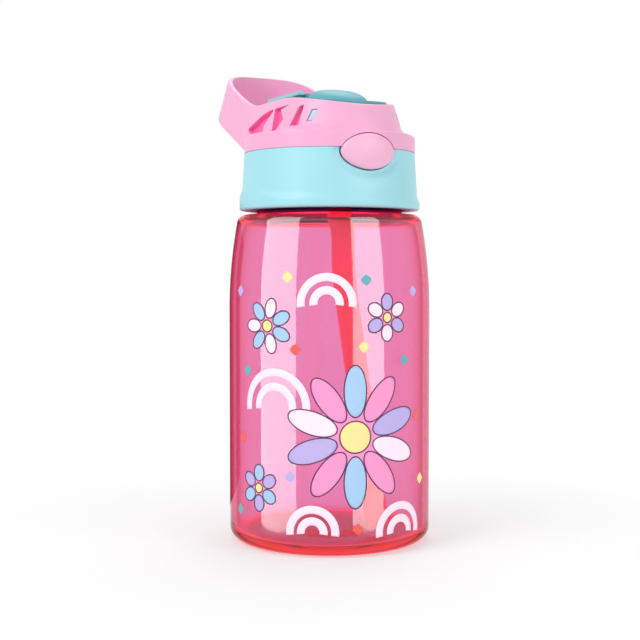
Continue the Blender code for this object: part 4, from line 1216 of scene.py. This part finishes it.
WIRE = 0.00035
path = coil((PIN_X, 0, PIN_Z), (0, 1, 0), PIN_RADIUS + CLEARANCE + WIRE, 0.007, 6)
spring = skin("cover_spring_wire", tube_rows(path, WIRE, 12), spring_steel)
dress(spring, "lid", "spring_steel", "cover_spring")

# %% [markdown]
# The button spring is squeezed between the frame's seat and the latch. When the button goes in, the wire
# gets closer together. The piece is a coil that fills the spring's solid, with a mesh of its own.

# %% Button spring
spring_low, spring_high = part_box("button_spring")
BUTTON_WIRE = 0.0003
middle = (spring_low + spring_high) / 2
length = spring_high.x - spring_low.x - 2 * BUTTON_WIRE
radius = (spring_high.z - spring_low.z) / 2 - BUTTON_WIRE
path = coil(middle, (1, 0, 0), radius, length, 5)
button_spring = skin("button_spring_wire", tube_rows(path, BUTTON_WIRE, 12), spring_steel)
dress(button_spring, "lid", "spring_steel", "button_spring")
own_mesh(button_spring)

# %% [markdown]
# The latch is a plain white moulding that nobody sees until the cover is open. Its solid is right as it is,
# so it only gets its plastic.

# %% Latch
latch = nodes["latch_fork"]
latch.data.materials.clear()
latch.data.materials.append(latch_white)
print("latch has", len(latch.data.polygons), "faces")

# %% [markdown]
# The mouthpiece is soft silicone. Its root is plugged through the deck, with a stub for the straw below,
# and the nozzle folds forward on a thin neck under the closed cover. The root is turned. The nozzle is a
# tube with a swelling, turned forward as one piece about a point above the root.

# %% Mouthpiece
socket_low, socket_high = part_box("mouthpiece_socket")
FLANGE_RADIUS = (socket_high.y - socket_low.y) / 2
STEM_RADIUS = 0.0043
STUB_RADIUS = 0.003
BORE = 0.0018
seat = FRAME_FLOOR + CLEARANCE
under = DECK_BOTTOM - CLEARANCE
barb = under - 0.35 * 0.0032
edge = 0.0009
profile = [(BORE, socket_high.z)] + arc((FLANGE_RADIUS - edge, socket_high.z - edge), edge, 90, 0, 5)
profile += [(FLANGE_RADIUS, seat), (STEM_RADIUS, seat), (STEM_RADIUS, under), (FLANGE_RADIUS - 0.0003, under)]
profile += [(FLANGE_RADIUS, under - 0.0003), (FLANGE_RADIUS - 0.0008, barb), (STUB_RADIUS, barb)]
profile += [(STUB_RADIUS, socket_low.z + 0.0004), (STUB_RADIUS - 0.0003, socket_low.z), (BORE, socket_low.z)]
socket = turned("mouthpiece_root", profile, silicone, steps=56, place=(SOCKET_X, 0))
dress(socket, "lid", "silicone", "mouthpiece_socket")

NOZZLE_PIVOT = Vector((SOCKET_X, 0, socket_high.z + CLEARANCE + 0.0032))
NOZZLE_FOLD = math.radians(70)
NOZZLE_LENGTH = 0.0135
TIP_RADIUS = 0.0036
NOZZLE_BORE = 0.0014
shape = [(0.50, -0.198), (0.70, -0.175), (0.80, -0.10), (0.84, 0), (0.80, 0.14), (0.76, 0.28), (0.80, 0.42)]
shape += [(0.90, 0.58), (0.98, 0.72), (1.0, 0.80), (0.97, 0.88), (0.88, 0.95), (0.72, 0.99), (0.55, 1.0)]
profile = [(TIP_RADIUS * radius, NOZZLE_LENGTH * along) for radius, along in smooth_points(shape, 3)]
profile += [(NOZZLE_BORE, NOZZLE_LENGTH * 0.985), (NOZZLE_BORE, -0.0027)]
nozzle = turned("mouthpiece_soft", profile, silicone, steps=56)
nozzle.data.transform(Matrix.Translation(NOZZLE_PIVOT) @ Matrix.Rotation(NOZZLE_FOLD, 4, "Y"))
dress(nozzle, None, "silicone", "mouthpiece")
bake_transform(nozzle)

# %% [markdown]
# Two more silicone pieces seal the lid: the flat ring on the neck, with round edges, and the little valve
# that lets air in as the child drinks. The valve is a mushroom with a slit in its cap.

# %% Gasket and valve
gasket_low, gasket_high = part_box("neck_gasket")
outer_radius = gasket_high.y
inner_radius = outer_radius - 0.0036
edge = 0.0006
profile = arc((outer_radius - edge, gasket_high.z - edge), edge, 90, 0, 5)
profile += arc((outer_radius - edge, gasket_low.z + edge), edge, 0, -90, 5)
profile += arc((inner_radius + edge, gasket_low.z + edge), edge, 270, 180, 5)
profile += arc((inner_radius + edge, gasket_high.z - edge), edge, 180, 90, 5)
gasket = turned("gasket_ring", profile, silicone, steps=128)
dress(gasket, "gasket", "silicone", "neck_gasket")

valve_low, valve_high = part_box("vent_valve")
valve_middle = (valve_low + valve_high) / 2
valve_radius = (valve_high.y - valve_low.y) / 2
cap = valve_high.z - DECK_TOP
VALVE_STEM = 0.002
top, low = valve_high.z, valve_low.z
profile = [(0, top), (0.5 * valve_radius, top - 0.0001), (0.86 * valve_radius, top - 0.0003)]
profile += [(valve_radius, DECK_TOP + 0.3 * cap), (valve_radius, DECK_TOP)]
profile += [(VALVE_STEM, DECK_TOP), (VALVE_STEM, under), (0.9 * valve_radius, under)]
profile += [(0.9 * valve_radius, under - cap), (0.36 * valve_radius, low), (0, low)]
valve = turned("air_valve", profile, silicone, steps=48, place=(valve_middle.x, valve_middle.y))
slit_low = (valve_middle.x - 0.0016, valve_middle.y - 0.00012, valve_high.z - 0.0006)
cut(valve, block("slit", slit_low, (valve_middle.x + 0.0016, valve_middle.y + 0.00012, valve_high.z + 0.001)))
dress(valve, "lid", "silicone", "vent_valve")

# %% [markdown]
# The print is screen printed on the outside in a few flat inks. Ink that thin lets some light through,
# which a faint glow of its own colour stands for. The imported bottle has no slot for ink, so each one is
# listed with the slot of a plastic with a like colour, or else the plain white one.

# %% Inks
def ink(name, colour):
    finish = Finish(name, ior=1.45)
    speckle = finish.noise(1500, 3)
    finish.feed("Base Color", finish.blend(speckle, tinted(colour, 0.96), tinted(colour, 1.03)))
    finish.feed("Roughness", 0.3 + 0.2 * speckle)
    # Painted light: a faint glow in the ink's own colour.
    finish.shader.inputs["Emission Color"].default_value = colour
    finish.shader.inputs["Emission Strength"].default_value = 0.15
    return finish.material


inks = {
    "white": (ink("ink_white", srgb(250, 226, 240)), "latch_white"),
    "lilac": (ink("ink_lilac", srgb(186, 172, 226)), "latch_white"),
    "sky": (ink("ink_sky", srgb(164, 200, 236)), "collar_blue"),
    "pink": (ink("ink_pink", srgb(246, 150, 200)), "lid_pink"),
    "cream": (ink("ink_cream", srgb(250, 226, 150)), "latch_white"),
    "plum": (ink("ink_plum", srgb(92, 52, 92)), "latch_white"),
    "teal": (ink("ink_teal", srgb(96, 170, 178)), "cover_teal"),
    "coral": (ink("ink_coral", srgb(238, 92, 84)), "straw_rose"),
}
print("inks ready:", sorted(inks))

# %% [markdown]
# Each motif is a thin sheet of ink laid on the barrel, so its edges are as crisp as a stencil's and it
# shows from inside through the clear wall. A mask in the bottle's finish would also do, but its edges would
# be only as fine as a baked picture. Points are given in millimetres along the barrel and up it, and then
# wrapped round.

# %% Laying ink
PRINT_AZIMUTH = VIEW_AZIMUTH - math.pi / 2
INK_LIFT = 0.00006
INK_THICKNESS = 0.00005
MM = 0.001


def on_barrel(u, v, lift):
    height = v * MM
    radius = body_radius(height) + lift
    turn = PRINT_AZIMUTH + u * MM / BODY_RADIUS
    return Vector((radius * math.cos(turn), radius * math.sin(turn), height))


def ink_band(bm, inner, outer, lift, bands=1, closed=True):
    """Ink between two lines with the same number of points, in bands so that it bends with the barrel."""
    rows = []
    for band in range(bands + 1):
        line = [Vector(a).lerp(Vector(b), band / bands) for a, b in zip(inner, outer)]
        rows.append([bm.verts.new(on_barrel(p.x, p.y, lift)) for p in line])
    for first, second in zip(rows, rows[1:]):
        for i in range(len(first) if closed else len(first) - 1):
            j = (i + 1) % len(first)
            bm.faces.new((first[i], first[j], second[j], second[i]))
    return rows


def ink_spot(bm, outline, lift):
    """Ink inside an outline, from its middle out."""
    middle = sum((Vector(p) for p in outline), Vector((0, 0))) / len(outline)
    small = [middle.lerp(Vector(p), 0.2) for p in outline]
    ring = ink_band(bm, small, outline, lift, bands=4)[0]
    heart = bm.verts.new(on_barrel(middle.x, middle.y, lift))
    for i, point in enumerate(ring):
        bm.faces.new((heart, point, ring[(i + 1) % len(ring)]))


print("ink lies", INK_LIFT / MM, "mm off the barrel")

# %% [markdown]
# Two outlines make the flowers and diamonds: an oval, which a power above 1 draws in towards a diamond, and
# a petal, which is an oval set beside a flower's heart. The arcs use the helper for curves.

# %% Motif outlines
def oval(centre, radius, squeeze=1.0, power=1.0, turn=0.0, steps=48):
    """A round, oval or pointed outline."""
    points = []
    for i in range(steps):
        angle = math.tau * i / steps
        x = radius * math.copysign(abs(math.cos(angle)) ** power, math.cos(angle))
        y = squeeze * radius * math.copysign(abs(math.sin(angle)) ** power, math.sin(angle))
        spun = Vector((x * math.cos(turn) - y * math.sin(turn), x * math.sin(turn) + y * math.cos(turn)))
        points.append(Vector(centre) + spun)
    return points


def petal(centre, radius, index, count, trim=0.0):
    """A round-ended petal beside a flower's heart. trim makes it smaller all round."""
    turn = math.tau * (index + 0.5) / count
    middle = Vector(centre) + 0.63 * radius * Vector((math.cos(turn), math.sin(turn)))
    half_width = 0.52 * radius * math.tan(math.pi / count) - trim
    half_length = 0.37 * radius - trim
    return oval(middle, half_length, half_width / half_length, turn=turn)


print("a petal has", len(petal((0, 0), 10, 0, 6)), "points")

# %% [markdown]
# The layout: one large daisy, three small ones, and arcs and diamonds between them. Each petal has a fine
# dark line round it. Under the middle of each flower lies a round of pink ink, so the gaps between the
# petals' roots are closed. Every sheet becomes one piece.

# %% Print
LINE = 0.45
ARC_HALF = 1.4
DOT_RADIUS = 2.0
UNDERLAY = 0.56
inks["under"] = inks["pink"]
sheets = {name: bmesh.new() for name in inks}
FLOWERS = [
    ((9, 42), 25, 10, ("lilac", "pink", "sky", "pink", "white")),
    ((-23, 80), 10, 7, ("sky", "white")),
    ((21, 83), 8.5, 6, ("white", "lilac")),
    ((-27, 23), 8.5, 6, ("lilac", "sky")),
]
for centre, radius, count, names in FLOWERS:
    ink_spot(sheets["under"], oval(centre, UNDERLAY * radius), INK_LIFT / 2)
    for index in range(count):
        outline = petal(centre, radius, index, count)
        ink_spot(sheets[names[index % len(names)]], outline, INK_LIFT)
        ink_band(sheets["plum"], petal(centre, radius, index, count, LINE), outline, 2 * INK_LIFT)
    heart = 0.23 * radius
    ink_spot(sheets["cream"], oval(centre, heart), 2 * INK_LIFT)
    ink_band(sheets["plum"], oval(centre, heart - LINE), oval(centre, heart), 3 * INK_LIFT)

ARCS = [((-20, 52), 12), ((-20, 52), 7), ((-1, 88), 9), ((-1, 88), 4.5)]
ARCS += [((27, 8), 9), ((27, 8), 4.5), ((-6, 9), 8), ((-6, 9), 4)]
for centre, radius in ARCS:
    inner, outer = [arc(centre, radius + side * ARC_HALF, -8, 188, 40) for side in (-1, 1)]
    ink_band(sheets["white"], inner, outer, INK_LIFT, 3, False)

DOTS = [
    ((-12, 72), "coral"), ((29, 68), "teal"), ((-33, 64), "teal"), ((12, 73), "cream"), ((36, 48), "coral"),
    ((-14, 28), "lilac"), ((-36, 40), "coral"), ((13, 96), "teal"), ((-15, 97), "cream"), ((10, 10), "coral"),
    ((34, 92), "lilac"), ((-38, 92), "lilac"), ((-38, 14), "teal"), ((39, 25), "cream"),
]
for centre, name in DOTS:
    ink_spot(sheets[name], oval(centre, DOT_RADIUS, power=1.6), INK_LIFT)

for name, sheet in sheets.items():
    piece = finish_mesh(f"print_{name}", sheet, inks[name][0])
    thick = piece.modifiers.new("ink", "SOLIDIFY")
    thick.thickness = INK_THICKNESS
    thick.offset = 1
    settle(piece)
    dress(piece, "bottle", inks[name][1])

# %% [markdown]
# The bottle stands in a plain studio with a white surround. The surround is white only where the camera, a
# reflection or a look through the clear wall meets it, which a Light Path node tells; as a light it is
# weaker, so the lid keeps its shading.

# %% Surround
SURROUND_LIGHT = 0.46


class Surround(Finish):
    """The world's nodes, made with the same calls as a material's."""

    def __init__(self, name):
        self.world = bpy.data.worlds.new(name)
        self.world.use_nodes = True
        self.tree = self.world.node_tree
        self.shader = self.tree.nodes["Background"]


surround = Surround("studio")
seen = surround.node("ShaderNodeLightPath", output="Is Camera Ray")
for ray in ("Is Glossy Ray", "Is Transmission Ray"):
    other = surround.node("ShaderNodeLightPath", output=ray)
    seen = surround.node("ShaderNodeMath", {"operation": "MAXIMUM"}, {0: seen, 1: other})
strength = {"Value": seen, "To Min": SURROUND_LIGHT, "To Max": 1.0}
surround.feed("Strength", surround.node("ShaderNodeMapRange", None, strength))
surround.feed("Color", (1, 1, 1, 1))
bpy.context.scene.world = surround.world
print("surround ready")

# %% [markdown]
# Three large soft lamps light the lid. Two tall strips stand close to the barrel and draw its upright
# highlights from the shoulder down to the heel, so they reach below the floor, which reflections don't
# show. Light linking gives the barrel the strips alone and the other pieces the lamps alone, so each can be
# set by itself.

# %% Lamps
STRIP_MIDDLE = 0.140
STRIP_HEIGHT = 0.356


def soft_lamp(name, turn, height, distance, size, power):
    """A soft box at an angle to the right of the camera, aimed at the bottle."""
    data = bpy.data.lights.new(name, "AREA")
    data.shape = "RECTANGLE"
    data.size, data.size_y = size
    data.energy = power
    lamp = bpy.data.objects.new(name, data)
    around = VIEW_AZIMUTH + math.radians(turn)
    lamp.location = (distance * math.sin(around), -distance * math.cos(around), height)
    aim = Vector((0, 0, 0.1)) - lamp.location
    lamp.rotation_euler = aim.to_track_quat("-Z", "Y").to_euler()
    bpy.context.scene.collection.objects.link(lamp)
    return lamp


def link_to_barrel(lamp, state):
    """Light linking: the lamp shines on the clear barrel alone, or on everything else."""
    group = bpy.data.collections.new(f"{lamp.name}_barrel")
    group.objects.link(bottle)
    group.collection_objects[0].light_linking.link_state = state
    lamp.light_linking.receiver_collection = group


link_to_barrel(soft_lamp("key", -50, 0.7, 0.8, (0.5, 0.5), 4.7), "EXCLUDE")
link_to_barrel(soft_lamp("fill", 50, 0.5, 0.9, (0.5, 0.5), 2.6), "EXCLUDE")
link_to_barrel(soft_lamp("top", 170, 0.9, 0.4, (0.5, 0.5), 2.4), "EXCLUDE")
STRIPS = [("left_strip", -56, 0.205, 0.16, 1.24), ("right_strip", 41.3, 0.209, 0.13, 1.02)]
for name, turn, distance, width, power in STRIPS:
    strip = soft_lamp(name, turn, STRIP_MIDDLE, distance, (width, STRIP_HEIGHT), power)
    strip.rotation_euler = (math.pi / 2, 0, VIEW_AZIMUTH + math.radians(turn))
    link_to_barrel(strip, "INCLUDE")
    strip.visible_camera = False
    strip.visible_diffuse = False
    strip.visible_transmission = False
    strip.visible_volume_scatter = False
print("lamps ready")

# %% [markdown]
# Photographers stand a dark card, a flag, beside glass so that its edge stays dark against a white room.
# This one is a deep red card behind the barrel on the left. Only reflections see it.

# %% Flag
FLAG_BACK = 0.06
FLAG_SIDES = (0.028, 0.15)
FLAG_HEIGHT = 0.128
flag_finish = Finish("flag", base_color=(0, 0, 0, 1), roughness=1.0, emission_color=srgb(104, 18, 34))
flag_finish.shader.inputs["Emission Strength"].default_value = 1.0
bm = bmesh.new()
corners = []
for side, height in ((0, 0), (1, 0), (1, FLAG_HEIGHT), (0, FLAG_HEIGHT)):
    left = FLAG_SIDES[side]
    corners.append(bm.verts.new((
        -left * math.cos(VIEW_AZIMUTH) - FLAG_BACK * math.sin(VIEW_AZIMUTH),
        -left * math.sin(VIEW_AZIMUTH) + FLAG_BACK * math.cos(VIEW_AZIMUTH),
        height)))
bm.faces.new(corners)
flag = finish_mesh("flag", bm, flag_finish.material)
for ray in ("camera", "diffuse", "transmission", "volume_scatter", "shadow"):
    setattr(flag, f"visible_{ray}", False)
print("flag ready")

# %% [markdown]
# The floor is a wide sheet just under the bottle's base. It is hidden from reflections, which show the
# surround and the strips instead.

# %% Floor
floor_finish = Finish("floor", base_color=(0.95, 0.95, 0.95, 1), roughness=0.9)
bm = bmesh.new()
bmesh.ops.create_grid(bm, x_segments=2, y_segments=2, size=3)
for vert in bm.verts:
    vert.co.z = -0.0002
floor = finish_mesh("floor", bm, floor_finish.material)
floor.visible_glossy = False
print("floor laid")

# %% [markdown]
# The sheet is white paper. Far from the bottle it looks as white as the surround, so no edge shows; near it
# the paper takes the lamps' light and the bottle's soft shadow. The white is only for the eye: Light Path
# limits it to the camera and to what is seen through or in the clear wall, so it adds no light to the
# bottle.

# %% Floor paper
middle = floor_finish.place()
distance = floor_finish.node("ShaderNodeVectorMath", {"operation": "LENGTH"}, {0: middle}, output="Value")
reach = {"Value": distance, "From Min": 0.05, "From Max": 0.17, "To Min": 0.45}
far = floor_finish.node("ShaderNodeMapRange", None, reach)
unseen = 1
for ray in ("Is Camera Ray", "Is Glossy Ray", "Is Transmission Ray"):
    unseen = unseen * (1 - floor_finish.node("ShaderNodeLightPath", output=ray))
glow = floor_finish.node("ShaderNodeEmission", None, {"Color": (1, 1, 1, 1), "Strength": 1.0})
paper = Value(floor_finish, floor_finish.shader.outputs[0])
mixed = floor_finish.node("ShaderNodeMixShader", None, {0: far * (1 - unseen), 1: paper, 2: glow})
floor_finish.show("Surface", mixed)
print("paper ready")
